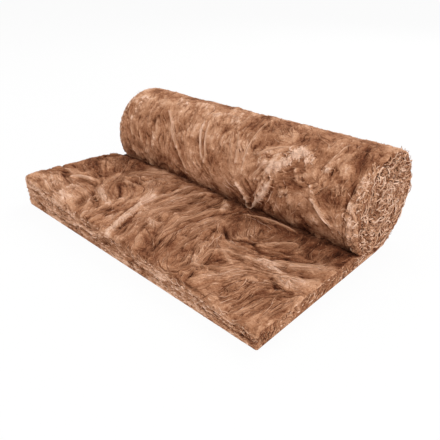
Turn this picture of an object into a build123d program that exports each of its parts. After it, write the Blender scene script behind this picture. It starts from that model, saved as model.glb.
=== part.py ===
"""Insulation roll: one blanket of brown mineral wool, partly unrolled.

The blanket is a single piece. Its tail lies flat on the floor, and the rest of it
is still wound up at the back of the tail. X runs along the roll's axis, the free
end of the tail faces -Y, and the floor is Z = 0 under the middle of the whole part.
"""

from build123d import *
import math
import os

# Driving dimensions, in millimetres

BLANKET_WIDTH = 1200.0  # cut side to cut side, along the roll's axis
ROLL_DIAMETER = 364.0  # over the outermost turn
ROLL_SAG = 4.0  # how much the roll's own weight flattens it where it rests on the floor
TAIL_LENGTH = 640.0  # free end of the tail to the roll's axis
LOFT_LEFT = 118.0  # thickness of the tail at its left side, where the wool has sprung back
LOFT_RIGHT = 58.0  # thickness of the tail at its right side, where it is still pressed flat
SWELL_HEIGHT = 11.0  # most that the tail's top rises or sinks about its even loft
SWELL_FADE = 160.0  # over this distance the swells die out towards the cut edges and the nip
SWELLS = (  # the waves that make up the swells: heading in degrees from +X, and length
    (15.0, 290.0),
    (75.0, 240.0),
    (130.0, 200.0),
    (40.0, 130.0),
    (105.0, 115.0),
)
NIP_DEPTH = 18.0  # how far the tail's top dips where the roll presses on it
NIP_REACH = 60.0  # how far in front of the roll that dip begins
CORNER_ROUND = 14.0  # rounding of the free end's two upright corners
EDGE_ROUND = 10.0  # soft edge of every cut face, the same on the tail and on the roll's rims
TURN_PITCH = 46.0  # thickness of one turn while it is wound
SEAM_WIDTH = 7.0  # gap between two turns where they show on the roll's ends
SEAM_DEPTH = 20.0  # how far that gap reaches in from each end
MOUTH_RUN = 10.0  # how far that gap runs out in front of the nip
EYE_RADIUS = 17.0  # hollow at the middle of the winding, where the wool closes up
EYE_OFFSET = 60.0  # the soft winding leaves its eye this far off the roll's axis
EYE_ANGLE = 130.0  # degrees from +Y towards +Z: the eye lies above the axis, on the tail's side

RIM_FLATS = 3  # flats that the soft rim of the roll is turned with, which keeps its facets few
SECTIONS = 29  # side views that the tail is lofted through
STATIONS = 15  # points on the top of each, from the free end to where the nip begins
TRIM = 20.0  # extra length and depth of the loft, which is then cut off square
WALL_SHARE = 0.4  # most of a wall's thickness that one soft edge may take

# Places that follow from them

ROLL_RADIUS = ROLL_DIAMETER / 2
FREE_END_Y = -(TAIL_LENGTH + ROLL_RADIUS) / 2
AXIS_Y = FREE_END_Y + TAIL_LENGTH
AXIS_Z = ROLL_RADIUS - ROLL_SAG
LEFT_X = -BLANKET_WIDTH / 2
RIGHT_X = BLANKET_WIDTH / 2
SOFT_EDGE = min(EDGE_ROUND, WALL_SHARE * min(LOFT_LEFT, LOFT_RIGHT))
ROLL_AXIS = Vector(AXIS_Y, AXIS_Z)
EYE_WAY = Vector(1, 0).rotate(Axis.Z, EYE_ANGLE)
FAR_SIDE = EYE_ANGLE + 180  # degrees, the side of the roll that is away from the eye
UNDERSIDE = 270.0  # degrees, the roll's lowest line


def make_roll():
    """The wound turns as one turned solid with soft rims, cut flat where it has settled on the floor."""
    rim_centre = Vector(RIGHT_X - SOFT_EDGE, ROLL_RADIUS - SOFT_EDGE)
    angles = [90 * corner / RIM_FLATS for corner in range(RIM_FLATS + 1)]
    right_rim = [rim_centre + Vector(SOFT_EDGE, 0).rotate(Axis.Z, angle) for angle in angles]
    left_rim = [Vector(-point.X, point.Y) for point in reversed(right_rim)]
    half_section = make_face(Polyline((LEFT_X, 0), (RIGHT_X, 0), *right_rim, *left_rim, close=True))
    turned = revolve(half_section, Axis.X)
    return split(Pos(0, AXIS_Y, AXIS_Z) * turned, bisect_by=Plane.XY, keep=Keep.TOP)


def even_loft(x):
    """Thickness of the tail at a place across it, without its swells."""
    return LOFT_LEFT + (LOFT_RIGHT - LOFT_LEFT) * (x - LEFT_X) / BLANKET_WIDTH


def nip_point(x):
    """Where the dipped top of the tail meets the roll, as a point of the side view."""
    height = even_loft(x) - NIP_DEPTH
    return Vector(AXIS_Y - math.sqrt(ROLL_RADIUS**2 - (AXIS_Z - height) ** 2), height)


def swell(x, y, last_y):
    """Rise of the tail's top: the mean of crossing waves, which die out at the cut edges and at the nip."""
    places = [(Vector(x, y).rotate(Axis.Z, -heading).X, length) for heading, length in SWELLS]
    waves = [math.sin(2 * math.pi * along / length) for along, length in places]
    inset = min(x - LEFT_X, RIGHT_X - x, y - FREE_END_Y, last_y - y)
    return SWELL_HEIGHT * min(1, inset / SWELL_FADE) * sum(waves) / len(waves)


def tail_section(x):
    """Side view of the tail at a place across it: square below, with the swells and the nip above."""
    loft_here = even_loft(x)
    nip = nip_point(x)
    last_y = nip.X - NIP_REACH
    crest = [(FREE_END_Y - TRIM, loft_here)]
    for station in range(STATIONS):
        y = FREE_END_Y + (last_y - FREE_END_Y) * station / (STATIONS - 1)
        crest.append((y, loft_here + swell(x, y, last_y)))
    top = Spline(*crest, nip, nip + Vector(NIP_REACH / 2, 0), (AXIS_Y, nip.Y))
    square = Polyline((AXIS_Y, nip.Y), (AXIS_Y, -TRIM), (FREE_END_Y - TRIM, -TRIM), crest[0])
    return Plane(origin=(x, 0, 0), x_dir=(0, 1, 0), z_dir=(1, 0, 0)) * make_face([top, square])


def make_tail():
    """The flat tail: side views lofted from left to right, which reach to below the roll's axis."""
    places = [LEFT_X + BLANKET_WIDTH * k / (SECTIONS - 1) for k in range(SECTIONS)]
    room = Box(BLANKET_WIDTH, TAIL_LENGTH, ROLL_DIAMETER, align=(Align.CENTER, Align.MIN, Align.MIN))
    slab = loft([tail_section(x) for x in places]) & Pos(0, FREE_END_Y, 0) * room
    uprights = slab.edges().filter_by(Axis.Z).group_by(Axis.Y)[0]
    slab = fillet(uprights, CORNER_ROUND)
    for underside_or_top in (0, -1):
        around = slab.faces().sort_by(Axis.Z)[underside_or_top].edges()
        slab = fillet(around.filter_by(lambda edge: edge.center().Y < AXIS_Y - SOFT_EDGE), SOFT_EDGE)
    return slab


def seam_reach(turn_radius, side):
    """Where a turn crosses the line from the axis to the eye: side is 1 near the eye, and -1 across."""
    drift = EYE_OFFSET * (1 - turn_radius / ROLL_RADIUS)
    return side * turn_radius + drift


def lead_in(end_x, first_reach):
    """The arc from the nip in front of the roll to the first turn, as centre, radius and two angles."""
    nip = nip_point(end_x)
    joint = ROLL_AXIS + EYE_WAY * first_reach
    chord = nip - joint
    radius = chord.length**2 / (2 * chord.dot(EYE_WAY))
    centre = joint + EYE_WAY * radius
    inwards = centre - nip
    from_angle = 180 + math.degrees(math.atan2(inwards.Y, inwards.X) - MOUTH_RUN / radius)
    return centre, radius, from_angle, FAR_SIDE


def seam_arcs(end_x):
    """The seam between the turns: the lead-in, then half circles that meet on the line through the eye."""
    turn_radius = ROLL_RADIUS - TURN_PITCH * (1 + (FAR_SIDE - UNDERSIDE) / 360)
    side = -1
    reach = seam_reach(turn_radius, side)
    angle = FAR_SIDE
    arcs = [lead_in(end_x, reach)]
    while turn_radius > EYE_RADIUS:
        turn_radius -= TURN_PITCH / 2
        side = -side
        next_reach = seam_reach(turn_radius, side)
        centre = ROLL_AXIS + EYE_WAY * ((reach + next_reach) / 2)
        arcs.append((centre, abs(next_reach - reach) / 2, angle, angle + 180))
        reach = next_reach
        angle += 180
    return arcs


def draw_arc(centre, radius, from_angle, to_angle):
    """A circular arc about a centre, between two angles in degrees."""
    stations = (from_angle, (from_angle + to_angle) / 2, to_angle)
    return ThreePointArc([centre + Vector(radius, 0).rotate(Axis.Z, station) for station in stations])


def make_seam(end_x, depth):
    """The gap between the turns on one end of the roll: a spiral slot with the eye of the winding."""
    arcs = seam_arcs(end_x)
    outer = [draw_arc(centre, radius + SEAM_WIDTH / 2, *angles) for centre, radius, *angles in arcs]
    inner = [draw_arc(centre, radius - SEAM_WIDTH / 2, *angles) for centre, radius, *angles in arcs]
    mouth = Line(outer[0] @ 0, inner[0] @ 0)
    tip = Line(outer[-1] @ 1, inner[-1] @ 1)
    end_plane = Plane(origin=(end_x, 0, 0), x_dir=(0, 1, 0), z_dir=(1, 0, 0))
    slot = extrude(end_plane * make_face([*outer, *inner, mouth, tip]), amount=depth)
    eye_centre = ROLL_AXIS + EYE_WAY * (EYE_OFFSET * (1 - EYE_RADIUS / ROLL_RADIUS))
    eye = Pos(eye_centre.X, eye_centre.Y) * Circle(EYE_RADIUS)
    return slot + extrude(end_plane * eye, amount=depth)


def main():
    os.makedirs("parts", exist_ok=True)
    blanket = make_roll() + make_tail()
    blanket -= make_seam(LEFT_X, SEAM_DEPTH)
    blanket -= make_seam(RIGHT_X, -SEAM_DEPTH)
    export_step(blanket, "parts/wool_blanket.step")


main()
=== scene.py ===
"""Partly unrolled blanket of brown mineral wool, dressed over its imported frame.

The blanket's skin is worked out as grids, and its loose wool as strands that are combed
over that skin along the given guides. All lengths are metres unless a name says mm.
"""

import math
from collections import namedtuple
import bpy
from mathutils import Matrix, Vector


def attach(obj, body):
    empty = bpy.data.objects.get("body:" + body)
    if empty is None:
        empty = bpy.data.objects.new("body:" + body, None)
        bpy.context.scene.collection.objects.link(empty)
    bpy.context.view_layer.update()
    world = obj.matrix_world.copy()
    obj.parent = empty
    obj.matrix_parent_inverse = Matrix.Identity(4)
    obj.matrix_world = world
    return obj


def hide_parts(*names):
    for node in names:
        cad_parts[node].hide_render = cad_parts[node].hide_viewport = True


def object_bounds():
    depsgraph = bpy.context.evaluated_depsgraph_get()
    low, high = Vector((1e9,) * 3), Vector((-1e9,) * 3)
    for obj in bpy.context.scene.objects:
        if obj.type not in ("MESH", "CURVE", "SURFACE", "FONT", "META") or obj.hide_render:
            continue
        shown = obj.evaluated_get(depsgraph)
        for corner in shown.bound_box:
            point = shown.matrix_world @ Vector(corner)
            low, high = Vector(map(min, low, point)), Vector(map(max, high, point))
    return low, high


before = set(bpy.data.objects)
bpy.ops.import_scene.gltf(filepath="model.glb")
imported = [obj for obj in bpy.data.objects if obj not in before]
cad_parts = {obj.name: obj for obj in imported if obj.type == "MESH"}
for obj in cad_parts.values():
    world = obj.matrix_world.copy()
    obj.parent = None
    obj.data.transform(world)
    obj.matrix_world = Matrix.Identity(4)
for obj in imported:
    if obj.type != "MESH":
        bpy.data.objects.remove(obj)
CAD_BOX = [list(corner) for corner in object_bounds()]

import bmesh
import bpy
import numpy as np
from bpy.props import FloatProperty, FloatVectorProperty, IntProperty, PointerProperty

bl_info = {
    "name": "Wool Insulation Roll",
    "version": (1, 0, 0),
    "blender": (4, 5, 0),
    "location": "View3D > Sidebar > Wool",
    "description": "Dresses a partly unrolled blanket of mineral wool with skin, strands and tufts",
    "category": "Object",
}

MM = 0.001
NODE = "wool_blanket"
BODY = "root"

# Guides on the tail. A row says how pale the wool is (below 0 it is darker), the guide's half
# width and height in mm, how many strands lie along it, and its points as mm across the blanket and mm from
# the middle towards the roll, which go on down the cut end. A count below zero is a puff of that many curls.
# A puff or a guide without a height doesn't steer the fibres.
# Rows below 0 are darker wool: some are the wool's own darker patches, and those in creases, pits and gaps
# are painted shade.
TAIL_GUIDES = (
    (0.85, 12, 2, 44, ((-122, -140), (-116, -187), (-107, -232), (-89, -289), (-63, -350), (-42, -408))),
    (0.80, 10, 2, -80, ((-108, -225), (-89, -289), (-63, -350), (-46, -400))),
    (-0.5, 2, -3, 0, ((-113, -210), (-92, -285), (-68, -345), (-52, -385))),
    (0.60, 10, 3, -30, ((10, -270), (22, -263))),
    (0.55, 9, 3, -28, ((-279, -296), (-266, -291))),
    (0.55, 9, 3, -26, ((100, 8), (112, 0))),
    (0.45, 12, 3, -36, ((250, -312), (266, -305))),
    (0.45, 12, 3, -36, ((8, -408), (22, -401))),
    (0.45, 12, 3, -36, ((526, -211), (540, -204))),
    (0.45, 12, 3, -36, ((-395, -324), (-378, -317))),
    (0.40, 12, 3, -36, ((-472, -360), (-457, -351))),
    (0.45, 10, 3, -30, ((313, -320), (327, -312))),
    (0.50, 10, 3, -30, ((411, -172), (425, -165))),
    (0.45, 12, 2, 20, ((-165, -95), (-140, -150), (-118, -210))),
    # This row and the next are painted shadows along both sides of the pale twisted strand.
    (-0.7, 7, -4, 0, ((-95, -190), (-84, -240), (-64, -300), (-40, -355))),
    (-0.6, 6, -2, 0, ((-128, -215), (-112, -280), (-88, -340))),
    (0.55, 9, 2, 24, ((-95, 10), (-105, -80), (-122, -175))),
    (0.45, 26, 2, 36, ((-215, -85), (-170, -125), (-130, -180))),
    (0.25, 22, 2, 36, ((-75, -200), (-50, -260), (-5, -330), (20, -400))),
    (0.20, 18, 1, 26, ((-20, -90), (-40, -180), (-20, -260))),
    (0.60, 12, 4, 18, ((-15, -255), (15, -258), (38, -248))),
    (0.10, 22, 1, 30, ((-60, 50), (-70, -20), (-75, -90))),
    (0.15, 22, 1, 30, ((0, 60), (-15, -20), (-20, -120))),
    (0.10, 22, 1, 30, ((60, 50), (50, -30), (40, -130))),
    (-0.9, 5, -3, 0, ((-5, 10), (-8, -30), (-5, -75))),
    (-0.8, 5, -2, 0, ((35, -15), (37, -70))),
    (-0.7, 5, -2, 0, ((-65, 20), (-68, -45))),
    (0.65, 11, 4, 22, ((75, 40), (100, 10), (125, -35))),
    (0.20, 16, 2, 26, ((55, -190), (85, -270), (115, -340))),
    (0.30, 12, 2, 22, ((120, -220), (125, -300), (165, -385))),
    (0.15, 18, 2, 26, ((160, -80), (150, -170), (165, -260))),
    (0.60, 12, 4, 18, ((50, -345), (70, -370), (90, -395))),
    (-0.8, 12, -4, 0, ((60, -300), (85, -305))),
    (-0.7, 18, -5, 0, ((110, -330), (145, -360), (170, -375))),
    (-0.6, 8, -3, 0, ((55, -330), (95, -352))),
    (-0.7, 6, -4, 0, ((182, -215), (190, -280))),
    (0.65, 5, 4, 16, ((195, 2), (235, 25), (290, 45), (350, 50), (395, 45))),
    (-1.0, 7, -6, 0, ((195, -100), (235, -130), (265, -147), (300, -125), (340, -118))),
    (-0.7, 8, -4, 0, ((340, -118), (380, -135), (420, -120))),
    (0.55, 9, 4, 22, ((365, -90), (400, -45), (445, -18))),
    (0.65, 20, 7, 56, ((395, -190), (450, -152), (520, -100), (590, -55))),
    (-0.7, 7, -4, 0, ((430, -138), (490, -102), (540, -62))),
    (0.90, 13, 4, 24, ((430, -170), (460, -165), (490, -172))),
    (0.50, 26, 10, 46, ((500, -205), (540, -190), (575, -165))),
    (-1.0, 7, -5, 0, ((488, -215), (525, -237), (570, -225))),
    (0.25, 18, 2, 32, ((305, -335), (340, -290), (400, -235), (450, -200))),
    (-0.8, 7, -4, 0, ((298, -335), (330, -310), (352, -298))),
    (0.60, 20, 4, 32, ((345, -345), (365, -310), (375, -280))),
    (0.35, 9, 2, 20, ((550, -270), (535, -340), (515, -395))),
    (0.20, 11, 2, 18, ((500, -250), (490, -320), (480, -390))),
    (0.30, 12, 2, 20, ((590, -230), (580, -310), (570, -390))),
    (0.50, 8, 3, 12, ((300, -218), (330, -225), (360, -245))),
    (0.20, 22, 2, 30, ((200, -215), (235, -280), (280, -350))),
    (0.05, 28, 2, 32, ((230, -10), (265, -60), (300, -110))),
    # Painted shade across the band in front of the crevice.
    (-0.30, 50, 0, 0, ((110, 30), (230, 10), (360, 15), (480, 40))),
    (0.75, 15, 5, 40, ((-335, -235), (-285, -265), (-235, -285), (-195, -298))),
    (-0.9, 7, -5, 0, ((-325, -280), (-290, -296), (-245, -312))),
    (-0.8, 7, -4, 0, ((-285, -190), (-235, -212), (-205, -245))),
    (0.80, 10, 4, 26, ((-475, -275), (-440, -248), (-395, -235))),
    (-0.6, 6, -3, 0, ((-440, -265), (-400, -250))),
    (0.55, 9, 3, 18, ((-575, -262), (-530, -252), (-490, -255))),
    (-0.7, 6, -4, 0, ((-560, -295), (-535, -270), (-520, -262))),
    (-0.9, 12, -5, 0, ((-515, -290), (-485, -300))),
    (0.50, 12, 3, 26, ((-400, -340), (-375, -315), (-335, -305), (-310, -330))),
    (0.40, 12, 3, 22, ((-470, -330), (-420, -345), (-380, -365))),
    (0.70, 5, 3, 14, ((-385, -372), (-340, -392))),
    (-0.7, 17, -4, 0, ((-300, -335), (-270, -370))),
    (-0.4, 34, -2, 0, ((-560, -120), (-500, -155), (-440, -185))),
    (-0.7, 9, -4, 0, ((-575, -215), (-545, -218))),
    (-0.5, 7, -3, 0, ((-410, -162), (-375, -160))),
    # Painted shadow below the crevice at the left.
    (-0.5, 36, 0, 0, ((-480, 30), (-400, 10), (-350, -20))),
    (0.35, 18, 2, 30, ((-375, -120), (-360, -170), (-355, -215))),
    (0.30, 22, 2, 30, ((-340, -60), (-300, -20), (-265, 25))),
    (-0.6, 15, -3, 0, ((-290, -115), (-240, -120))),
    (0.30, 12, 2, 20, ((-290, -140), (-240, -138), (-205, -150))),
    (0.40, 10, 2, 18, ((-245, -345), (-225, -375))),
    (0.30, 15, 2, 22, ((-180, -300), (-178, -360), (-185, -405))),
    (-0.6, 10, -3, 0, ((-155, -310), (-150, -360))),
    (0.35, 45, 1, 40, ((-540, -340), (-450, -370), (-360, -380))),
    (0.00, 30, 1, 30, ((-520, -40), (-450, -60), (-390, -110))),
    (0.00, 30, 1, 30, ((420, 60), (430, 0), (470, -60))),
    (-0.1, 30, 1, 30, ((540, 60), (530, 0), (560, -50))),
    (0.35, 10, 2, 40, ((-80, -253), (-82, -137), (-50, -40), (0, 26))),
    (0.25, 10, 2, 36, ((-59, -263), (-31, -151), (44, -35))),
    (-0.6, 4, -3, 0, ((138, -374), (110, -270), (102, -168), (125, -80), (161, -10))),
    (0.35, 5, 3, 24, ((118, -345), (85, -250), (72, -169), (100, -70), (135, -6))),
    (0.20, 8, 2, 24, ((197, -336), (175, -240), (166, -157), (175, -58))),
    (0.35, 9, 3, 28, ((300, -343), (269, -260), (304, -198), (378, -194))),
    (-0.5, 5, -3, 0, ((318, -330), (292, -262), (318, -216), (372, -212))),
    (0.35, 55, 0, 0, ((-396, -416), (-312, -383), (-201, -370), (-95, -300))),
    (0.30, 40, 0, 0, ((-332, -286), (-281, -230))),
    (0.25, 45, 0, 0, ((-95, -276), (-47, -225), (-20, -190))),
    (-0.45, 45, 0, 0, ((-262, -190), (-200, -150), (-165, -105))),
    (-0.40, 45, 0, 0, ((-590, -330), (-565, -250), (-530, -170))),
    (-0.35, 26, 0, 0, ((-170, -335), (-140, -308))),
    (-0.30, 50, 0, 0, ((440, -60), (477, -107), (520, 20))),
    (-0.40, 32, 0, 0, ((480, -120), (505, -145))),
    (0.30, 24, 0, 0, ((395, -340), (420, -322), (400, -290))),
    (-0.45, 34, 0, 0, ((484, -303), (520, -330), (517, -256))),
    (-0.25, 28, 0, 0, ((165, -335), (190, -322))),
    (0.25, 35, 0, 0, ((556, -215), (590, -130))),
    (0.30, 22, 0, 0, ((245, -397), (265, -395))),
    (-0.35, 14, 0, 0, ((400, -430), (440, -428), (470, -432))),
    (-0.45, 12, 0, 0, ((-598, 58), (-500, 60), (-420, 62))),
    (-0.25, 22, 0, 0, ((290, -354), (305, -350))),
    (-0.30, 26, 0, 0, ((572, 86), (572, 40))),
    (0.30, 35, 0, 0, ((230, -440), (300, -445), (370, -450))),
    (-0.45, 35, 0, 0, ((420, -450), (500, -450), (590, -450))),
    (
        -0.8, 5, -3, 0,
        ((596, -442), (500, -446), (420, -444), (330, -452), (250, -449), (170, -457), (90, -453)),
    ),
    (-0.6, 4, -2, 0, ((90, -453), (0, -462), (-90, -458), (-180, -468), (-260, -462), (-340, -470))),
    (-0.7, 4, -2, 0, ((-120, -436), (-220, -444), (-310, -440), (-420, -450), (-500, -446), (-590, -452))),
    (-0.6, 5, -2, 0, ((-200, -488), (-300, -484), (-400, -494), (-500, -490), (-590, -498))),
    (-0.5, 4, -2, 0, ((300, -428), (380, -432), (460, -428), (540, -433))),
    (0.50, 8, 2, 20, ((560, -455), (470, -458), (400, -456), (320, -463))),
    (0.55, 10, 2, 16, ((250, -430), (190, -436), (140, -430))),
    (0.45, 9, 2, 16, ((60, -476), (0, -472), (-60, -478))),
    (0.55, 9, 2, 16, ((-120, -452), (-180, -452), (-240, -450))),
    (0.50, 9, 2, 16, ((-330, -482), (-400, -478), (-470, -484))),
    (0.45, 8, 2, 16, ((-420, -432), (-490, -430), (-560, -436))),
)

# Guides on the roll, in the same way: mm across, and degrees about the axis from the back over the top.
# Rows below 0 here too are partly the wool's own darker patches and partly painted shade in creases, pits
# and gaps.
ROLL_GUIDES = (
    (0.85, 4, 5, 20, ((-118, 125), (-98, 145), (-72, 163), (-52, 173))),
    (0.75, 4, 5, 16, ((-88, 128), (-62, 150), (-42, 166), (-48, 174))),
    (0.60, 8, 5, 28, ((-320, 125), (-272, 139), (-240, 152), (-205, 166))),
    (0.60, 5, 4, 16, ((-205, 166), (-170, 181), (-145, 192))),
    (0.45, 7, 3, 18, ((-430, 112), (-422, 132), (-398, 150))),
    (0.40, 6, 3, 12, ((-360, 140), (-338, 156))),
    (0.60, 5, 4, 12, ((-448, 163), (-425, 176))),
    (0.40, 13, 3, 24, ((35, 92), (45, 108), (32, 130))),
    (0.55, 3, 4, 12, ((133, 88), (138, 130), (140, 170))),
    (0.50, 6, 4, 16, ((65, 127), (92, 140), (105, 160))),
    (0.60, 4, 5, 14, ((472, 103), (457, 122), (444, 136))),
    (0.80, 7, 7, 36, ((436, 171), (471, 181), (513, 192))),
    (0.50, 22, 2, 0, ((248, 157), (280, 150), (310, 141), (340, 130))),
    (1.50, 13, 7, -60, ((325, 132), (338, 129))),
    (1.30, 10, 6, -44, ((303, 143), (313, 140))),
    (1.10, 11, 6, -44, ((274, 152), (284, 149))),
    (0.90, 8, 4, -28, ((249, 157), (257, 155))),
    (1.00, 9, 5, -32, ((374, 136), (384, 133))),
    (1.10, 7, 5, -26, ((356, 130), (364, 128))),
    (0.90, 6, 4, -20, ((452, 140), (460, 137))),
    (0.60, 12, 4, -30, ((209, 151), (219, 148))),
    (0.50, 10, 4, -24, ((175, 146), (184, 143))),
    (0.50, 12, 4, -30, ((321, 176), (333, 173))),
    (0.45, 10, 4, -24, ((505, 155), (515, 152))),
    (-0.6, 3, -3, 0, ((317, 136), (322, 141))),
    (-0.6, 3, -3, 0, ((291, 146), (297, 149))),
    (-0.5, 3, -3, 0, ((347, 135), (352, 128))),
    (-0.6, 4, -3, 0, ((263, 156), (268, 150))),
    (0.40, 52, 0, 0, ((-570, 120), (-455, 117), (-346, 111), (-222, 111), (-108, 109))),
    (0.25, 35, 0, 0, ((400, 92), (460, 92))),
    (-0.55, 30, 0, 0, ((470, 106), (505, 114), (540, 122), (568, 119))),
    (0.35, 26, 0, 0, ((512, 157), (548, 150))),
    (0.30, 26, 0, 0, ((-395, 157), (-370, 157))),
    (-0.30, 24, 0, 0, ((0, 128), (30, 126))),
    (-0.3, 26, 0, 0, ((500, 162), (506, 177), (500, 190))),
    (0.50, 7, 5, 18, ((188, 145), (211, 138), (255, 131), (292, 128))),
    (0.60, 9, 7, 26, ((186, 172), (209, 162), (226, 152), (250, 150))),
    (-0.5, 4, -3, 0, ((291, 138), (298, 139))),
    (0.50, 11, 5, -30, ((352, 150), (372, 158), (385, 152))),
    (0.45, 12, 4, -30, ((210, 172), (240, 168), (262, 160))),
    (0.40, 10, 3, -24, ((420, 160), (436, 166), (440, 176))),
    (0.40, 12, 3, -24, ((-60, 108), (-20, 104), (20, 112))),
    (0.35, 12, 3, -24, ((-330, 100), (-300, 110), (-280, 106))),
    (0.35, 12, 3, -20, ((-520, 118), (-505, 132), (-515, 150))),
    (1.10, 7, 6, 20, ((264, 170), (252, 180), (231, 189), (207, 199), (186, 208))),
    (0.75, 6, 5, 14, ((232, 171), (223, 180), (207, 192))),
    (-0.6, 2, -4, 0, ((246, 172), (236, 182), (212, 196))),
    (1.10, 9, 3, -70, ((258, 172), (240, 183), (212, 195))),
    (0.85, 6, 5, 20, ((118, 184), (139, 189), (154, 198), (161, 205))),
    (0.70, 6, 2, -30, ((120, 185), (140, 190), (156, 200))),
    (0.80, 3, 6, 14, ((157, 205), (148, 213), (161, 217), (184, 210), (196, 202))),
    (-0.9, 4, -5, 0, ((166, 209), (178, 207))),
    (-0.7, 7, -4, 0, ((268, 156), (257, 166))),
    (-0.8, 6, -5, 0, ((158, 176), (180, 183), (190, 190))),
    (0.70, 11, 3, -110, ((580, 138), (576, 155), (577, 175), (575, 195))),
    (0.70, 7, 3, -20, ((564, 160), (567, 172))),
    (-0.7, 3, -4, 0, ((560, 143), (554, 166), (554, 184), (552, 202), (554, 220))),
    (0.40, 7, 3, 16, ((500, 113), (494, 122), (490, 134))),
    (-1.0, 9, -8, 0, ((276, 172), (258, 187))),
    (-0.5, 28, -4, 0, ((310, 160), (355, 162), (400, 160))),
    (-0.5, 8, -4, 0, ((0, 125), (-5, 150))),
    # Painted shade along the turned-over edge next to the right rim.
    (-0.6, 13, -6, 0, ((520, 95), (545, 125), (555, 150))),
    (0.10, 20, 2, 20, ((-520, 100), (-500, 140), (-480, 180))),
    (0.10, 20, 2, 20, ((-220, 95), (-190, 120), (-150, 150))),
    (0.05, 20, 2, 20, ((-20, 180), (10, 190), (60, 200))),
    (0.10, 20, 2, 20, ((380, 175), (360, 190), (350, 205))),
    (0.05, 20, 2, 20, ((200, 95), (230, 110), (280, 115))),
)

# Waves of the tail's top, as in the solid: heading in degrees from +X, and length in mm.
SWELLS = ((15, 290), (75, 240), (130, 200), (40, 130), (105, 115))

# Odd whole numbers that mix the indices of a cell and a seed into one hash.
CELL_STEPS = np.array((73856093, 19349663, 83492791), np.int64)
SEED_STEP = 2654435761
HASH_STEP = 1274126177

TINY = 1e-9
DRIFT_KEPT = 0.85  # share of a strand's wandering error that stays at each step

# Sizes of the cells of the noise that the wool's patterns are made of.
LUMP_SIZE = 0.10
CLOUD_SIZE = 0.10
COMBED_SIZE = 0.065
CREASE_SIZE = 0.045
PATCH_SIZE = 0.07
RAG_SIZE = 0.05
CAP_SWIRL_SIZE = 0.035
LIP_SWIRL_SIZE = 0.035
BED_SIZE = (0.09, 0.09, 0.013)
THIN_BED_SIZE = (0.026, 0.026, 0.007)
BED_KNOT_SIZE = 0.008

# Heights and reaches on its surface.
RAG_RISE = 0.014  # how far the line where the cut end's fibres begin goes up and down
RAG_BLEND = 0.02  # over this distance they turn level
SLANT_BLEND = 0.05  # over this distance the fibres of the cut sides turn to their slant on the tail
GUIDE_REACH = 0.03  # how far beyond its half width a guide still steers the fibres
LEAST_RISE = 0.002  # strands on a lower guide arch as if it had this height
PUFF_RISE = 0.005  # height of the knots on a puff
BED_RISE = 0.0022  # height of the level beds on the cut end
SEAM_SINK = 0.006  # depth of the groove along the winding's seam
FLOOR_FADE = 0.022  # over this height the relief dies out towards the floor
FLOOR_GAP = 0.0002  # strands stay this far above the floor
CREVICE_PAINTED_SHADE = 0.024  # reach of the strongest painted shade on the tail, in front of the roll
CREVICE_SHADE = 0.13  # reach of the fainter painted shade around it
ROLL_PAINTED_SHADE = 0.032  # reach of the painted shade on the roll, above the crevice
LEFT_PART = 0.3  # the rise of the left edge dies out this far to the left of the middle
RIGHT_FADE = 0.3  # the tail's top grows darker over this distance to the right of the middle
END_FADE = 0.02  # the seam and the painted shade at the foot die out this near to the roll's outline
SIDE_SHIFT = 0.37  # shift of the patches that makes the two cut sides differ

SLANT_ANGLE = 1.1  # heading of the fibres on the tail's cut sides, in radians
CAP_TURN = 0.7  # most that they and those on the roll's ends turn about, in radians
SEAM_START = 1.2  # where the seam leaves the roll's outline, in half turns from the back
SEAM_HALF_WIDTH = 0.09  # half width of its groove, as a share of one turn's thickness

# Rasters that hold the fibres' directions: reach to both sides, ends of the tail's one, and cells.
FLOW_SIDE = 0.66
TAIL_FLOW_ENDS = (-0.58, 0.25)
TAIL_FLOW_CELL = 0.006
ROLL_FLOW_CELL = 0.008

Guide = namedtuple("Guide", "pale width rise count path")
Layer = namedtuple("Layer", "size reach height tone")
Swirl = namedtuple("Swirl", "heading broad turn fine fine_turn seed")

# Fibres without a guide: twice their even heading, then size and turn of the broad and of the fine swirls.
TAIL_SWIRL = Swirl(math.pi, 0.065, 2.8, 0.026, 1.8, seed=62)
ROLL_SWIRL = Swirl(math.radians(136), 0.055, 2.4, 0.022, 1.8, seed=72)
SWIRL_PULL = 0.7


def lattice(cell, seed):
    """A repeatable number from -1 to 1 for each whole-number cell: its indices mixed into one hash."""
    mixed = np.bitwise_xor.reduce(cell * CELL_STEPS[: cell.shape[-1]], axis=-1) ^ seed * SEED_STEP
    mixed = (mixed ^ mixed >> 13) * HASH_STEP
    return ((mixed ^ mixed >> 16) & 0xFFFF) / 32767.5 - 1


def noise(points, size, seed):
    """Value noise: lattice numbers at the corners of cells of that size, blended by s*s*(3-2s) between."""
    scaled = points / np.asarray(size)
    cell = np.floor(scaled).astype(np.int64)
    part = scaled - cell
    blend = part * part * (3 - 2 * part)
    axes = np.arange(points.shape[-1])
    total = np.zeros(points.shape[:-1])
    for corner in range(2 ** len(axes)):
        step = corner >> axes & 1
        total += np.prod(np.where(step, blend, 1 - blend), axis=-1) * lattice(cell + step, seed)
    return total


def rough_noise(points, size, octaves, seed):
    """Value noise added to itself at half the size and half the strength, for each octave."""
    return sum(noise(points, size / 2**k, seed + k) / 2**k for k in range(octaves))


def unit(vectors):
    """The vectors at length one."""
    return vectors / np.maximum(np.linalg.norm(vectors, axis=-1, keepdims=True), TINY)


def way_at(angle):
    """Steps of length one in the directions of those angles."""
    return np.stack([np.cos(angle), np.sin(angle)], -1)


def facing(steps, ways):
    """The steps, turned round wherever they point against the ways."""
    return steps * np.where(np.sum(steps * ways, axis=-1, keepdims=True) < 0, -1, 1)


def swirling(points, swirl):
    """Steps at twice the fibres' angle: an even heading that two sizes of noise turn about."""
    angle = swirl.heading + swirl.turn * noise(points, swirl.broad, swirl.seed)
    return way_at(angle + swirl.fine_turn * noise(points, swirl.fine, swirl.seed + 1))


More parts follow.
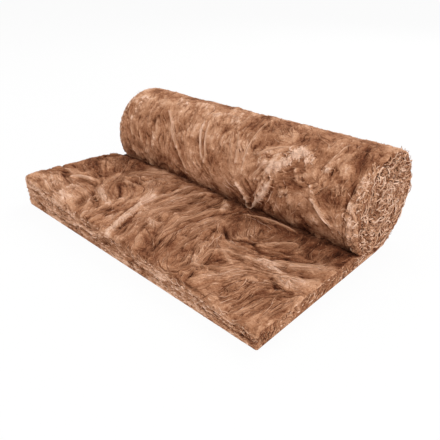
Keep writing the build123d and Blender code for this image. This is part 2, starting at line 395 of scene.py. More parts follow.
def smooth_step(values):
    """From 0 at 0 to 1 at 1 along 3v*v - 2v*v*v."""
    held = np.clip(values, 0, 1)
    return held * held * (3 - 2 * held)


def bell(values):
    """A bell curve that is 1 at 0 and about a third at 1."""
    return np.exp(-(values**2))


def legs(path):
    """The straight legs of a path, each as its two ends."""
    return zip(path[:-1], path[1:])


def leg_distance(points, start, end):
    """Distance of points from a straight leg between two points."""
    leg = end - start
    share = np.clip((points - start) @ leg / (leg @ leg), 0, 1)
    return np.linalg.norm(points - start - share[..., None] * leg, axis=-1)


def soften(path, rounds=3):
    """A path with its corners cut: each leg keeps its quarter points, and the two ends stay."""
    for _ in range(rounds):
        cut = np.stack([0.75 * path[:-1] + 0.25 * path[1:], 0.25 * path[:-1] + 0.75 * path[1:]], 1)
        path = np.concatenate([path[:1], cut.reshape(-1, 2), path[-1:]])
    return path


class Strand:
    """One kind of strand: its stations, and how long, crooked, raised, arched, wide and pointed it is."""

    def __init__(self, steps, width, taper, length=(0, 0), skew=1, wander=0, curl=0, lift=(0, 0), arch=0):
        self.steps = steps
        self.width = width
        self.taper = taper
        self.length = length
        self.skew = skew
        self.wander = wander
        self.curl = curl
        self.lift = lift
        self.arch = arch
        self.hump = np.sin(math.pi * np.linspace(0, 1, steps))

    def lengths(self, count, rng):
        """From the shortest to the longest by a random share, to the power of the skew."""
        shortest, longest = self.length
        return shortest + (longest - shortest) * rng.random(count) ** self.skew

    def arches(self, count, rng):
        """Heights along strands that rise from both ends to their middle, as a sine."""
        return self.arch * rng.random((count, 1)) * self.hump

    def lifts(self, count, rng):
        """Heights over the skin: an even lift for each strand, plus its arch."""
        return rng.uniform(*self.lift, (count, 1)) + self.arches(count, rng)

    def widths(self, girth):
        """From thin to thick by a girth of 0 to 1. Both ends taper off, as a sine to a small power."""
        thin, thick = self.width
        return (thin + (thick - thin) * girth) * self.hump**self.taper

    def comb(self, starts, lengths, heading, rng):
        """Paths that follow a field of angles from their starts. A wandering error and a curl add up."""
        count = len(starts)
        drift = rng.normal(0, self.wander, count)
        bend = rng.normal(0, self.curl, count)
        stride = (lengths / (self.steps - 1))[:, None]
        points = [starts]
        way = None
        for _ in range(self.steps - 1):
            step = way_at(heading(points[-1]) + drift)
            if way is None:
                way = step * rng.choice((-1.0, 1.0), (count, 1))
            else:
                way = facing(step, way)
            drift = DRIFT_KEPT * drift + rng.normal(0, self.wander, count) + bend
            points.append(points[-1] + way * stride)
        return np.stack(points, 1)


TAIL_STRAND = Strand(
    steps=7, width=(0.0008, 0.0038), taper=0.6, length=(0.02, 0.18), skew=3,
    wander=0.14, curl=0.06, lift=(-0.0006, 0.001), arch=0.002,
)
ROLL_STRAND = Strand(
    steps=7, width=(0.0008, 0.0036), taper=0.6, length=(0.015, 0.09), skew=2,
    wander=0.18, curl=0.12, lift=(-0.0008, 0.001), arch=0.002,
)
END_STRAND = Strand(
    steps=9, width=(0.0015, 0.0067), taper=0.5, length=(0.018, 0.065),
    wander=0.20, curl=0.22, lift=(-0.002, 0.002), arch=0.0035,
)
LIP_STRAND = Strand(
    steps=9, width=(0.0015, 0.0060), taper=0.5, length=(0.012, 0.040), wander=0.25, curl=0.28, arch=0.003
)
STRAY_FIBRE = Strand(steps=9, width=(0.0010, 0.0022), taper=0.4, length=(0.003, 0.010))
EDGE_STRAND = Strand(
    steps=8, width=(0.0010, 0.0028), taper=0.6, length=(0.012, 0.05),
    wander=0.22, curl=0.12, lift=(-0.001, 0.001), arch=0.0025,
)
BUNDLE_STRAND = Strand(steps=8, width=(0.0009, 0.0043), taper=0.5)
BUNDLE_SINK = 0.001  # how far the ends of a bundle's strands sink into the skin
BUNDLE_FIRST = (-0.05, 0.5)  # where along its guide such a strand begins, as a share
BUNDLE_COVERS = (0.35, 0.7)  # the share of its guide that it covers
BUNDLE_SPREAD = (0.1, 1.1)  # how far it strays to one side, as a share of the guide's half width
BUNDLE_TWIST = (-4, 4)  # how far it would twist over the whole guide, in radians
CURL_STRAND = Strand(
    steps=8, width=(0.0018, 0.0052), taper=0.5, length=(0.010, 0.030), wander=0.25, curl=0.45, arch=0.0024
)
CURL_LEAST_ARCH = 0.0003  # height that every curl's arch has at least


class Guides:
    """Drawn lines on an unrolled surface. They steer the wool, raise or sink it and tint it."""

    def __init__(self, rows, scale):
        self.rows = []
        for pale, width, rise, count, path in rows:
            self.rows.append(Guide(pale, width * MM, rise * MM, count, np.array(path) * scale))

    def pull(self, points):
        """Cosine and sine of twice the guides' angle, so that a line has no sign, summed by nearness."""
        total = np.zeros(points.shape)
        for guide in self.rows:
            if guide.count < 0 or guide.rise == 0:
                continue
            reach = GUIDE_REACH + guide.width
            for start, end in legs(guide.path):
                angle = 2 * math.atan2(*(end - start)[::-1])
                near = bell(leg_distance(points, start, end) / reach)
                total += near[..., None] * way_at(angle)
        return total

    def field(self, points):
        """Height and tone: each guide's own value, times a bell curve of the distance over its half width.
        The third value is the nearness of a puff."""
        height, tone, fluff = np.zeros((3, *points.shape[:-1]))
        for guide in self.rows:
            away = np.min([leg_distance(points, *leg) for leg in legs(guide.path)], axis=0)
            near = bell(away / guide.width)
            height += guide.rise * near
            # Guides below 0 darken the tone, partly as painted shade in creases, pits and gaps.
            tone += guide.pale * near
            if guide.count < 0:
                fluff = np.maximum(fluff, near)
        return height, np.clip(tone, -1, 1), fluff

    def bundles(self, steps, rng):
        """Strands laid along the guides: a share of the line each, off to one side by a slow twist."""
        paths, tones, lifts = [], [], []
        for pale, width, rise, count, path in self.rows:
            if count <= 0:
                continue
            line = soften(path)
            reached = np.concatenate([[0], np.cumsum(np.linalg.norm(np.diff(line, axis=0), axis=1))])
            first = rng.uniform(*BUNDLE_FIRST, (count, 1))
            last = first + rng.uniform(*BUNDLE_COVERS, (count, 1))
            share = first + (last - first) * np.linspace(0, 1, steps)
            along = np.stack([np.interp(share * reached[-1], reached, line[:, axis]) for axis in (0, 1)], -1)
            way = unit(np.gradient(along, axis=1) + TINY)
            aside = np.stack([-way[..., 1], way[..., 0]], -1)
            turn = rng.uniform(0, 2 * math.pi, (count, 1)) + share * rng.uniform(*BUNDLE_TWIST, (count, 1))
            spread = width * rng.uniform(*BUNDLE_SPREAD, (count, 1)) * np.sin(turn)
            fan = 0.4 + 0.6 * np.sin(math.pi * np.clip(share, 0, 1))
            paths.append(along + aside * (spread * fan)[..., None])
            tones.append(pale + rng.normal(0, 0.2, count))
            lifts.append((0.1 + 0.4 * rng.random(count)) * max(rise, LEAST_RISE))
        return np.concatenate(paths), np.concatenate(tones), np.concatenate(lifts)

    def curls(self, rng):
        """Short strands wound up on themselves, scattered about the guides that are puffs."""
        starts, tones = [], []
        for guide in self.rows:
            if guide.count < 0:
                count, corners = -guide.count, len(guide.path)
                share = rng.uniform(0, corners - 1, count)
                line = [np.interp(share, np.arange(corners), guide.path[:, axis]) for axis in (0, 1)]
                starts.append(np.stack(line, -1) + rng.normal(0, 0.7 * guide.width, (count, 2)))
                tones.append(guide.pale + rng.normal(0, 0.3, count))
        starts = np.concatenate(starts)
        heading = rng.uniform(0, math.pi, len(starts))
        lengths = CURL_STRAND.lengths(len(starts), rng)
        return CURL_STRAND.comb(starts, lengths, lambda places: heading, rng), np.concatenate(tones)


class Map:
    """Values worked out on an even raster of an unrolled surface and read in between by straight blends."""

    def __init__(self, low, high, cell, function):
        self.low = np.array(low)
        self.cell = cell
        counts = np.ceil((np.array(high) - self.low) / cell).astype(int) + 1
        places = np.stack(np.meshgrid(*(np.arange(count) * cell for count in counts), indexing="ij"), -1)
        self.values = function(places + self.low)

    def read(self, points):
        """The four values round each place, blended across and then along."""
        place = np.clip((points - self.low) / self.cell, 0, np.array(self.values.shape[:2]) - 1.001)
        corner = np.floor(place)
        row, column = np.moveaxis(corner.astype(int), -1, 0)
        down, right = np.moveaxis(place - corner, -1, 0)[..., None]
        near = self.values[row, column] * (1 - right) + self.values[row, column + 1] * right
        far = self.values[row + 1, column] * (1 - right) + self.values[row + 1, column + 1] * right
        return near * (1 - down) + far * down

    def angle(self, points):
        """Half the angle of the two values that are read, as the heading of a line."""
        pair = self.read(points)
        return np.arctan2(pair[..., 1], pair[..., 0]) / 2


class Sheet:
    """One unrolled surface of wool: where its fibres run, and the tufts and streaks that follow them."""

    def __init__(self, flow, guides, seed, tuft, streak, felt):
        self.flow = flow
        self.guides = guides
        self.seed = seed
        self.tuft = tuft
        self.streak = streak
        self.felt = felt

    def drawn_noise(self, points, size, reach, seed):
        """Noise drawn out along the fibres: summed at even steps both ways along them, at unit spread."""
        steps = math.ceil(reach / size)
        total = noise(points, size, seed)
        for sign in (-1.0, 1.0):
            place, way = points, None
            for _ in range(steps):
                step = way_at(self.flow(place))
                way = step * sign if way is None else facing(step, way)
                place = place + way * (reach / steps)
                total = total + noise(place, size, seed)
        return total / np.std(total)

    def relief(self, points):
        """Height and tone: drawn-out noise folded at zero into tufts with creases between them, streaks
        along the fibres, felt with knots and pits, broad clouds, and the guides. The creases and sunk pits
        take a darker tone as well, which is painted shade on top of the wool's own varied tone."""
        seed, tuft, streak, felt = self.seed, self.tuft, self.streak, self.felt
        folds = self.drawn_noise(points, tuft.size, tuft.reach, seed)
        tufts = np.minimum(np.abs(folds) - 0.8, 1.2) - 0.9 * bell(folds / 0.16)
        streaks = self.drawn_noise(points, streak.size, streak.reach, seed + 1)
        mats = rough_noise(points, felt.size, 4, seed + 2)
        knots = noise(points, felt.reach, seed + 3) + 0.5 * noise(points, felt.reach / 2, seed + 4)
        pits = smooth_step((np.abs(knots) - 0.45) / 0.5) * np.sign(knots)
        clouds = rough_noise(points, CLOUD_SIZE, 2, seed + 5)
        combed = 0.3 + 1.1 * smooth_step(0.5 + noise(points, COMBED_SIZE, seed + 7))
        creases = bell(folds / 0.11) * smooth_step(0.4 + 1.2 * noise(points, CREASE_SIZE, seed + 8))
        height = combed * (tuft.height * tufts + streak.height * streaks)
        height += felt.height * (mats + pits - 0.8 * creases)
        # Painted shade: the creases, and the sunk side of the knots, take a darker tone.
        tone = combed * (tuft.tone * tufts + streak.tone * streaks) - 0.4 * creases
        tone += felt.tone * (mats + 0.8 * pits) + 0.26 * clouds
        if self.guides:
            raised, tint, fluff = self.guides.field(points)
            height += raised + PUFF_RISE * fluff * knots
            tone = tone * (1 - 0.45 * np.abs(tint)) + np.where(tint > 0, 0.92, 0.8) * tint
            tone += 0.6 * fluff * knots
        return height, tone


class Blanket:
    """The blanket's surfaces. Each takes two unrolled coordinates and gives points and outward normals."""

    def __init__(self, shape):
        low, high = CAD_BOX
        self.half = (high[0] - low[0]) / 2
        self.front = low[1]
        self.radius = (high[2] - low[2] + shape.roll_sag) / 2
        self.axis_y = high[1] - self.radius
        self.axis_z = self.radius - shape.roll_sag
        self.roll_front = self.axis_y - 0.75 * self.radius
        self.lofts = (shape.loft_left, shape.loft_right)
        self.edge = shape.edge_round
        self.rim = shape.rim_round
        self.roll_rims = (shape.left_rim_round, shape.rim_round)
        self.flat = self.half - self.rim
        self.face_top = self.front + self.edge * (1 - math.pi / 2)
        self.crevice_depth = shape.crevice_depth
        self.crevice_reach = shape.crevice_reach
        self.swell_height = shape.swell_height
        self.swell_fade = shape.swell_fade
        self.left_tilt = shape.left_tilt
        self.lump = shape.lump_height
        self.eye = np.array((shape.eye_forward, shape.eye_up))
        self.pitch = shape.turn_pitch
        self.tail_guides = Guides(TAIL_GUIDES, MM)
        self.roll_guides = Guides(ROLL_GUIDES, np.array((MM, math.radians(self.radius))))
        around = 2 * math.pi * self.radius
        low, high = ((side * FLOW_SIDE, end) for side, end in zip((-1, 1), TAIL_FLOW_ENDS))
        tail_flow = Map(low, high, TAIL_FLOW_CELL, self.tail_pull).angle
        low, high = (-FLOW_SIDE, -around / 2), (FLOW_SIDE, around)
        roll_flow = Map(low, high, ROLL_FLOW_CELL, self.roll_pull).angle
        tuft, streak, felt = shape.tuft_height, shape.streak_height, shape.felt_height
        self.tail_sheet = Sheet(
            tail_flow,
            self.tail_guides,
            seed=61,
            tuft=Layer(0.023, 0.046, tuft, 0.15),
            streak=Layer(0.0042, 0.022, streak, 0.09),
            felt=Layer(0.046, 0.013, felt, 0.30),
        )
        self.roll_sheet = Sheet(
            roll_flow,
            self.roll_guides,
            seed=71,
            tuft=Layer(0.018, 0.020, 0.7 * tuft, 0.10),
            streak=Layer(0.0042, 0.012, streak, 0.08),
            felt=Layer(0.044, 0.012, 1.2 * felt, 0.36),
        )
        self.cap_sheet = Sheet(
            self.cap_angle,
            None,
            seed=81,
            tuft=Layer(0.011, 0.020, 0.9 * tuft, 0.16),
            streak=Layer(0.0050, 0.016, streak, 0.12),
            felt=Layer(0.034, 0.010, felt, 0.20),
        )

    def tail_pull(self, points):
        """Fibres of the tail run back to front with broad swirls and follow its guides. Below a ragged line
        they lie level, on the cut end."""
        ragged = self.face_top + RAG_RISE * noise(points[..., :1], RAG_SIZE, 64)
        face = smooth_step((ragged - points[..., 1]) / RAG_BLEND)[..., None]
        pull = self.tail_guides.pull(points) + SWIRL_PULL * swirling(points, TAIL_SWIRL)
        return pull * (1 - face) + face * np.array((1.0, 0.0))

    def roll_pull(self, points):
        """Fibres of the roll run round it at a slant with tight swirls, and follow its guides."""
        return self.roll_guides.pull(points) + SWIRL_PULL * swirling(points, ROLL_SWIRL)

    def cap_angle(self, places):
        """Fibres of the cut sides follow the winding on the roll and stand at a slant on the tail, both with
        swirls."""
        angle = self.winding(places[..., 0], places[..., 1])[0] + math.pi / 2
        on_tail = smooth_step((self.roll_front - places[..., 0]) / SLANT_BLEND)
        angle = angle * (1 - on_tail) + SLANT_ANGLE * on_tail
        return angle + CAP_TURN * noise(places, CAP_SWIRL_SIZE, 82)

    def loft(self, x):
        """Thickness of the tail, which falls evenly from left to right."""
        return np.interp(x, (-self.half, self.half), self.lofts)

    def crevice_angle(self, x):
        """Angle at which the roll meets the sunk top of the tail."""
        return math.pi + np.arcsin((self.axis_z - self.loft(x) + self.crevice_depth) / self.radius)

    def crevice_line(self, x):
        """Place of the crevice along the tail."""
        return self.axis_y + self.radius * np.cos(self.crevice_angle(x))

    def swell(self, x, along):
        """Rise of the tail's top: the mean of crossing waves, which die out at the cut edges and at the
        crevice."""
        headings = np.radians([heading for heading, _ in SWELLS])
        lengths = MM * np.array([length for _, length in SWELLS])
        places = x[..., None] * np.cos(headings) + along[..., None] * np.sin(headings)
        waves = np.mean(np.sin(2 * math.pi * places / lengths), axis=-1)
        last = self.crevice_line(x) - self.crevice_reach
        inset = np.minimum(self.half - np.abs(x), np.minimum(along - self.front, last - along))
        return self.swell_height * np.clip(inset / self.swell_fade, 0, 1) * waves

    def tilt(self, x, along):
        """Rise of the tail's left edge at the free end. It turns into a dip at the roll as a square of the
        share of the way there, and dies out to the right."""
        share = np.clip((along - self.front) / (self.crevice_line(x) - self.front), 0, 1)
        leftness = smooth_step((-x - LEFT_PART) / LEFT_PART)
        return self.left_tilt * (1 - 0.6 * share - 2.6 * share**2) * leftness

    def tail(self, across, along):
        """The tail's top: a plane that falls to the right and dips into the crevice, then turns down on a
        quarter circle and goes on down the cut end."""
        x = np.clip(across, -self.flat, self.flat)
        dip = self.crevice_depth * smooth_step(1 - (self.crevice_line(x) - along) / self.crevice_reach)
        below = np.maximum(self.front + self.edge - along, 0)
        turn = np.minimum(below / self.edge, math.pi / 2)
        down = np.maximum(below - self.edge * math.pi / 2, 0)
        y = np.where(below > 0, self.front + self.edge * (1 - np.sin(turn)), along)
        tilt = self.tilt(x, along)
        rise = self.swell(x, along) + tilt - dip
        down = down * (1 + tilt / (self.loft(x) - self.edge))
        z = np.maximum(self.loft(x) + rise - self.edge * (1 - np.cos(turn)) - down, 0)
        normals = np.stack([0 * x, -np.sin(turn), np.cos(turn)], -1)
        return self.over_rim(across, np.stack([x, y, z], -1), normals, (self.rim, self.rim))

    def roll(self, across, arc):
        """The roll's skin: a cylinder about its axis."""
        x = np.clip(across, self.roll_rims[0] - self.half, self.half - self.roll_rims[1])
        angle = arc / self.radius
        normals = np.stack([0 * x, np.cos(angle), np.sin(angle)], -1)
        points = np.stack([x, 0 * x + self.axis_y, 0 * x + self.axis_z], -1) + self.radius * normals
        return self.over_rim(across, points, normals, self.roll_rims)

    def over_rim(self, across, points, normals, rims):
        """Carries a surface over the cut side: on a quarter circle from its own normal to the side's, then
        straight inwards."""
        rim = np.where(across < 0, *rims)[..., None]
        over = np.maximum(np.abs(across)[..., None] - self.half + rim, 0)
        turn = np.minimum(over / rim, math.pi / 2)
        inwards = np.maximum(over - rim * math.pi / 2, 0)
        side = np.sign(across)[..., None] * np.array((1.0, 0, 0))
        points = points - normals * (rim * (1 - np.cos(turn)) + inwards) + side * rim * np.sin(turn)
        return points, normals * np.cos(turn) + side * np.sin(turn)

    def cap(self, side, y, z):
        """The flat cut side of the tail and of the roll, drawn in on a quarter circle near its outline."""
        in_roll = self.radius - np.hypot(y - self.axis_y, z - self.axis_z)
        in_tail = np.minimum(float(self.loft(side * self.half)) - z, y - self.front)
        depth = np.where(y < self.axis_y, np.maximum(in_roll, in_tail), in_roll)
        rim = np.where((in_roll > in_tail) | (y > self.axis_y), self.roll_rims[side > 0], self.rim)
        short = np.clip(rim - depth, 0, rim)
        inset = rim - np.sqrt(rim**2 - short**2)
        points = np.stack([side * (self.half - inset), y, z], -1)
        return points, np.broadcast_to(np.array((float(side), 0, 0)), points.shape)

    def winding(self, y, z):
        """Turn of the winding at a place on the roll's end: its angle about the drifting centre, and the
        phase, which is 0 on the seam between two turns."""
        offset = np.stack([y - self.axis_y, z - self.axis_z], -1)
        share = 1 - np.clip(np.linalg.norm(offset, axis=-1) / self.radius, 0, 1)
        offset = offset - share[..., None] * self.eye
        angle = np.arctan2(offset[..., 1], offset[..., 0])
        depth = self.radius - np.linalg.norm(offset, axis=-1)
        turns = depth / self.pitch - (angle / math.pi - SEAM_START) / 2
        return angle, turns - np.floor(turns)

    def raised(self, points, normals, height):
        """Points raised along their normals by broad lumps and a height that die out at the floor. None
        goes below it."""
        lumps = self.lump * rough_noise(points, LUMP_SIZE, 2, 11)
        total = (lumps + height) * smooth_step(points[..., 2] / FLOOR_FADE)
        moved = points + normals * total[..., None]
        moved[..., 2] = np.maximum(moved[..., 2], 0)
        return moved

    def dressed_tail(self, across, along, lift=0.0):
        """Points, normals and tone on the finished tail. Painted shade darkens it in and around the crevice,
        and it has level beds on its cut end."""
        points, normals = self.tail(across, along)
        height, tone = self.tail_sheet.relief(np.stack([across, along], -1))
        face = 1 - smooth_step(normals[..., 2] * 1.4)
        beds = 0.6 * noise(points, BED_SIZE, 54) + 0.8 * noise(points, THIN_BED_SIZE, 55)
        beds += 0.5 * noise(points, BED_KNOT_SIZE, 56)
        gap = self.crevice_line(np.clip(across, -self.flat, self.flat)) - along
        tone = tone * (1 - 0.3 * face) + face * (0.26 + 0.36 * beds)
        tone = tone - 0.12 * (1 - face) * smooth_step(across / RIGHT_FADE)
        # Painted shade: darker in front of the roll, strongly at the crevice and faintly around it.
        tone = tone - 0.5 * bell(gap / CREVICE_PAINTED_SHADE) - 0.16 * bell(gap / CREVICE_SHADE)
        height = height * (1 - 0.35 * face) + face * BED_RISE * beds
        return self.raised(points, normals, height + lift), normals, tone

    def dressed_roll(self, across, arc, lift=0.0):
        """Points, normals and tone on the finished roll, with painted shade low down where it meets the
        tail.
        """
        points, normals = self.roll(across, arc)
        height, tone = self.roll_sheet.relief(np.stack([across, arc], -1))
        gap = self.crevice_angle(np.clip(across, -self.flat, self.flat)) * self.radius - arc
        # Painted shade above the crevice, on a slight lift of the whole roll's tone.
        tone = tone + 0.08 - 0.45 * bell(gap / ROLL_PAINTED_SHADE)
        return self.raised(points, normals, height + lift), normals, tone

    def dressed_cap(self, side, y, z, lift=0.0):
        """Points, normals and tone on the finished cut sides. A soft groove runs along the winding's seam,
        the roll's end is darker at its top, and painted shade darkens its foot."""
        points, normals = self.cap(side, y, z)
        height, tone = self.cap_sheet.relief(np.stack([y, z], -1))
        phase = self.winding(y, z)[1]
        on_roll = smooth_step((self.radius - np.hypot(y - self.axis_y, z - self.axis_z)) / END_FADE)
        seam = bell(np.minimum(phase, 1 - phase) / SEAM_HALF_WIDTH) * on_roll
        patches = noise(np.stack([y + SIDE_SHIFT * side, z], -1), PATCH_SIZE, 83)
        top = smooth_step((z - 1.2 * self.radius) / (0.6 * self.radius))
        # Painted shade: the roll's end darkens at its foot, low down towards the floor and the tail.
        foot = on_roll * smooth_step(1 - z / (0.9 * self.radius))
        tone = tone + 0.15 * patches - 0.30 * seam - 0.45 * top - 0.45 * foot
        height = height - SEAM_SINK * seam
        return self.raised(points, normals, height + lift), normals, tone


# Points nearer than this are welded, and edges shorter than this are taken out.
WELD_DISTANCE = 2e-5
SHORTEST_EDGE = 1e-6

# A strand's section, as shares of its width to the side and up.
STRAND_SECTION = np.array(((-0.5, 0.0), (0.0, 0.24), (0.5, 0.0)))

# The two finishes: how closely their noise lies, how far it shades the tone, and its bump's strength
# and height. On strands it lies closer across than along.
STRAND_NOISE = (1400.0, 22.0, 1.0)
STRAND_SHADING = 0.6
STRAND_BUMP = (0.3, 0.001)
FELT_NOISE = 210.0
FELT_SHADING = 1.7
FELT_BUMP = (0.7, 0.004)


def grid_faces(rows, columns):
    """Corner numbers of the quads of a grid whose points are numbered row by row."""
    first = (np.arange(rows - 1)[:, None] * columns + np.arange(columns - 1)).reshape(-1)
    return np.stack([first, first + 1, first + columns + 1, first + columns], -1)


def new_object(name, points, corners, counts, attributes, material):
    """A smooth mesh object from arrays: points, the corners of its faces in a row, and how many each has."""
    mesh = bpy.data.meshes.new(name)
    mesh.vertices.add(len(points))
    mesh.vertices.foreach_set("co", points.astype(np.float32).reshape(-1))
    mesh.loops.add(len(corners))
    mesh.loops.foreach_set("vertex_index", corners.astype(np.int32))
    mesh.polygons.add(len(counts))
    mesh.polygons.foreach_set("loop_start", (np.cumsum(counts) - counts).astype(np.int32))
    mesh.polygons.foreach_set("use_smooth", np.ones(len(counts), bool))
    for key, values in attributes.items():
        kind, member = ("FLOAT", "value") if values.ndim == 1 else ("FLOAT_VECTOR", "vector")
        data = mesh.attributes.new(key, kind, "POINT").data
        data.foreach_set(member, values.astype(np.float32).reshape(-1))
    mesh.update(calc_edges=True)
    mesh.validate()
    mesh.materials.append(material)
    piece = bpy.data.objects.new(name, mesh)
    bpy.context.scene.collection.objects.link(piece)
    return piece


def closed_skin(name, grids, material):
    """One closed mesh from grids of points and tones that share their edges. It is welded, and its faces
    are turned outwards."""
    points = np.concatenate([place.reshape(-1, 3) for place, _ in grids])
    tones = np.concatenate([tone.reshape(-1) for _, tone in grids])
    sizes = [tone.size for _, tone in grids]
    starts = np.cumsum(sizes) - sizes
    faces = [grid_faces(*tone.shape) + start for (_, tone), start in zip(grids, starts)]
    corners = np.concatenate(faces)
    counts = np.full(len(corners), 4)
    piece = new_object(name, points, corners.reshape(-1), counts, {"tone": tones}, material)
    build = bmesh.new()
    build.from_mesh(piece.data)
    bmesh.ops.remove_doubles(build, verts=build.verts, dist=WELD_DISTANCE)
    bmesh.ops.dissolve_degenerate(build, edges=build.edges, dist=SHORTEST_EDGE)
    bmesh.ops.recalc_face_normals(build, faces=build.faces)
    build.to_mesh(piece.data)
    build.free()
    return piece


def strand_object(name, centres, normals, widths, tones, material, seed):
    """Closed three-sided strands with pointed ends: a low triangle carried along each path.

    A station's corners are its centre plus its width times the section, measured along the side, which is
    normal x path, and upwards, which is path x side. The end stations shrink to one point each.
    """
    count, steps = widths.shape
    path = unit(np.gradient(centres, axis=1))
    side = unit(np.cross(normals, path))
    up = np.cross(path, side)
    sideways, upwards = STRAND_SECTION[:, :1], STRAND_SECTION[:, 1:]
    inner = slice(1, steps - 1)
    corner_ways = side[:, inner, None] * sideways + up[:, inner, None] * upwards
    rings = centres[:, inner, None] + widths[:, inner, None, None] * corner_ways
    points = np.concatenate([centres[:, :1], rings.reshape(count, -1, 3), centres[:, -1:]], 1)
    points[..., 2] = np.maximum(points[..., 2], FLOOR_GAP)
    size = points.shape[1]
    corner = np.arange(3)
    around = (corner + 1) % 3
    ring = 1 + 3 * np.arange(steps - 3)[:, None]
    head = np.stack([0 * corner, 1 + around, 1 + corner], -1)
    quads = np.stack([ring + corner, ring + around, ring + 3 + around, ring + 3 + corner], -1).reshape(-1, 4)
    tail = np.stack([0 * corner + size - 1, size - 4 + corner, size - 4 + around], -1)
    corners = np.concatenate([head.reshape(-1), quads.reshape(-1), tail.reshape(-1)])
    counts = np.concatenate([np.full(3, 3), np.full(len(quads), 4), np.full(3, 3)])
    station = np.concatenate([[0], np.repeat(np.arange(1, steps - 1), 3), [steps - 1]])
    strides = np.linalg.norm(np.diff(centres, axis=1), axis=-1)
    reached = np.concatenate([np.zeros((count, 1)), np.cumsum(strides, axis=1)], 1)
    across = np.concatenate([[0.0], np.tile(STRAND_SECTION[:, 0], steps - 2), [0.0]])
    own = np.random.default_rng(seed).uniform(0, 50, (count, 1))
    fibre = np.stack([across * widths[:, station], reached[:, station], own + 0 * across], -1)
    offsets = (np.arange(count) * size)[:, None]
    return new_object(
        name,
        points.reshape(-1, 3),
        (corners + offsets).reshape(-1),
        np.tile(counts, count),
        {"tone": tones[:, station].reshape(-1), "fibre": fibre.reshape(-1, 3)},
        material,
    )


class Value:
    """An output of a node. Sums, differences and products with numbers or other values add Math nodes."""

    def __init__(self, finish, socket):
        self.finish = finish
        self.socket = socket

    def math(self, operation, first, second):
        return self.finish.put("ShaderNodeMath", {"operation": operation}, {0: first, 1: second})

    def __add__(self, other):
        return self.math("ADD", self, other)

    def __radd__(self, other):
        return self.math("ADD", other, self)

    def __sub__(self, other):
        return self.math("SUBTRACT", self, other)

    def __rsub__(self, other):
        return self.math("SUBTRACT", other, self)

    def __mul__(self, other):
        return self.math("MULTIPLY", self, other)

    def __rmul__(self, other):
        return self.math("MULTIPLY", other, self)


class Finish:
    """The node tree of a material or a sky while it is being made."""

    def __init__(self, owner):
        self.owner = owner
        owner.use_nodes = True
        self.tree = owner.node_tree
        self.tree.nodes.clear()

    def put(self, kind, settings=None, sockets=None, output=0):
        """Adds a node from its type, its settings and the values or links of its sockets."""
        node = self.tree.nodes.new(kind)
        for key, value in (settings or {}).items():
            if key == "stops":
                self.set_stops(node.color_ramp, value)
            else:
                setattr(node, key, value)
        for key, value in (sockets or {}).items():
            if isinstance(value, Value):
                self.tree.links.new(value.socket, node.inputs[key])
            else:
                node.inputs[key].default_value = value
        return Value(self, node.outputs[output]) if len(node.outputs) else node

    def set_stops(self, ramp, stops):
        """Gives a colour ramp its stops, each a place and a colour."""
        while len(ramp.elements) < len(stops):
            ramp.elements.new(0.5)
        for element, (place, colour) in zip(ramp.elements, stops):
            element.position = place
            element.color = colour

    def attribute(self, name, output):
        """A value that each point of the mesh carries."""
        return self.put("ShaderNodeAttribute", {"attribute_name": name}, output=output)

    def noise(self, place, scale, detail, roughness):
        """Noise of 0 to 1 at a place."""
        sockets = {"Vector": place, "Scale": scale, "Detail": detail, "Roughness": roughness}
        return self.put("ShaderNodeTexNoise", {}, sockets)

    def wool_colour(self, tone, look):
        """Base colour from a tone of -1 to 1: the darkest wool and painted shade of hollows, shaded wool,
        body, tufts and loose ends in turn.
        """
        colours = (look.dark_wool_and_shade, look.shaded, look.body, look.tuft, look.loose)
        stops = [(k / 4, (*colour, 1)) for k, colour in enumerate(colours)]
        return self.put("ShaderNodeValToRGB", {"stops": stops}, {"Fac": tone * 0.5 + 0.5})

    def surface(self, colour, height, bump, look):
        """A matt fibrous surface with that colour, and a bump of that strength and height."""
        strength, distance = bump
        sockets = {"Strength": strength, "Distance": distance, "Height": height}
        normal = self.put("ShaderNodeBump", {}, sockets)
        sockets = {
            "Base Color": colour,
            "Roughness": look.roughness,
            "Specular IOR Level": look.gloss,
            "Normal": normal,
        }
        shader = self.put("ShaderNodeBsdfPrincipled", {}, sockets)
        self.put("ShaderNodeOutputMaterial", {}, {"Surface": shader})
        return self.owner


def strand_finish(name, look):
    """Strand wool: its tone, with fine lines that run along the strand and change from one to the next."""
    finish = Finish(bpy.data.materials.new(name))
    tone = finish.attribute("tone", "Fac")
    fibre = finish.attribute("fibre", "Vector")
    drawn = finish.put("ShaderNodeVectorMath", {"operation": "MULTIPLY"}, {0: fibre, 1: STRAND_NOISE})
    lines = finish.noise(drawn, 1.0, 3.0, 0.6)
    colour = finish.wool_colour(tone + (lines - 0.5) * STRAND_SHADING, look)
    return finish.surface(colour, lines, STRAND_BUMP, look)


def skin_finish(name, look):
    """Felted wool under the strands: its tone, clouded by fine fibre knots."""
    finish = Finish(bpy.data.materials.new(name))
    tone = finish.attribute("tone", "Fac")
    place = finish.put("ShaderNodeTexCoord", output="Object")
    felt = finish.noise(place, FELT_NOISE, 4.0, 0.72)
    colour = finish.wool_colour(tone + (felt - 0.5) * FELT_SHADING, look)
    return finish.surface(colour, felt, FELT_BUMP, look)


def metres(name, description, default):
    """A length property."""
    return FloatProperty(name=name, description=description, default=default, unit="LENGTH")


def whole(name, description, default):
    """A whole-number property."""
    return IntProperty(name=name, description=description, default=default)


def fraction(name, description, default):
    """A property from 0 to 1."""
    return FloatProperty(name=name, description=description, default=default, min=0, max=1, subtype="FACTOR")


def watts(name, description, default):
    """The power of a lamp."""
    return FloatProperty(name=name, description=description, default=default, unit="POWER")


def degrees(name, description, default):
    """An angle property, which Blender keeps in radians."""
    default = math.radians(default)
    return FloatProperty(name=name, description=description, default=default, subtype="ANGLE")


def paint(name, description, default):
    """A colour property of three linear shares."""
    return FloatVectorProperty(name=name, description=description, default=default, subtype="COLOR", size=3)


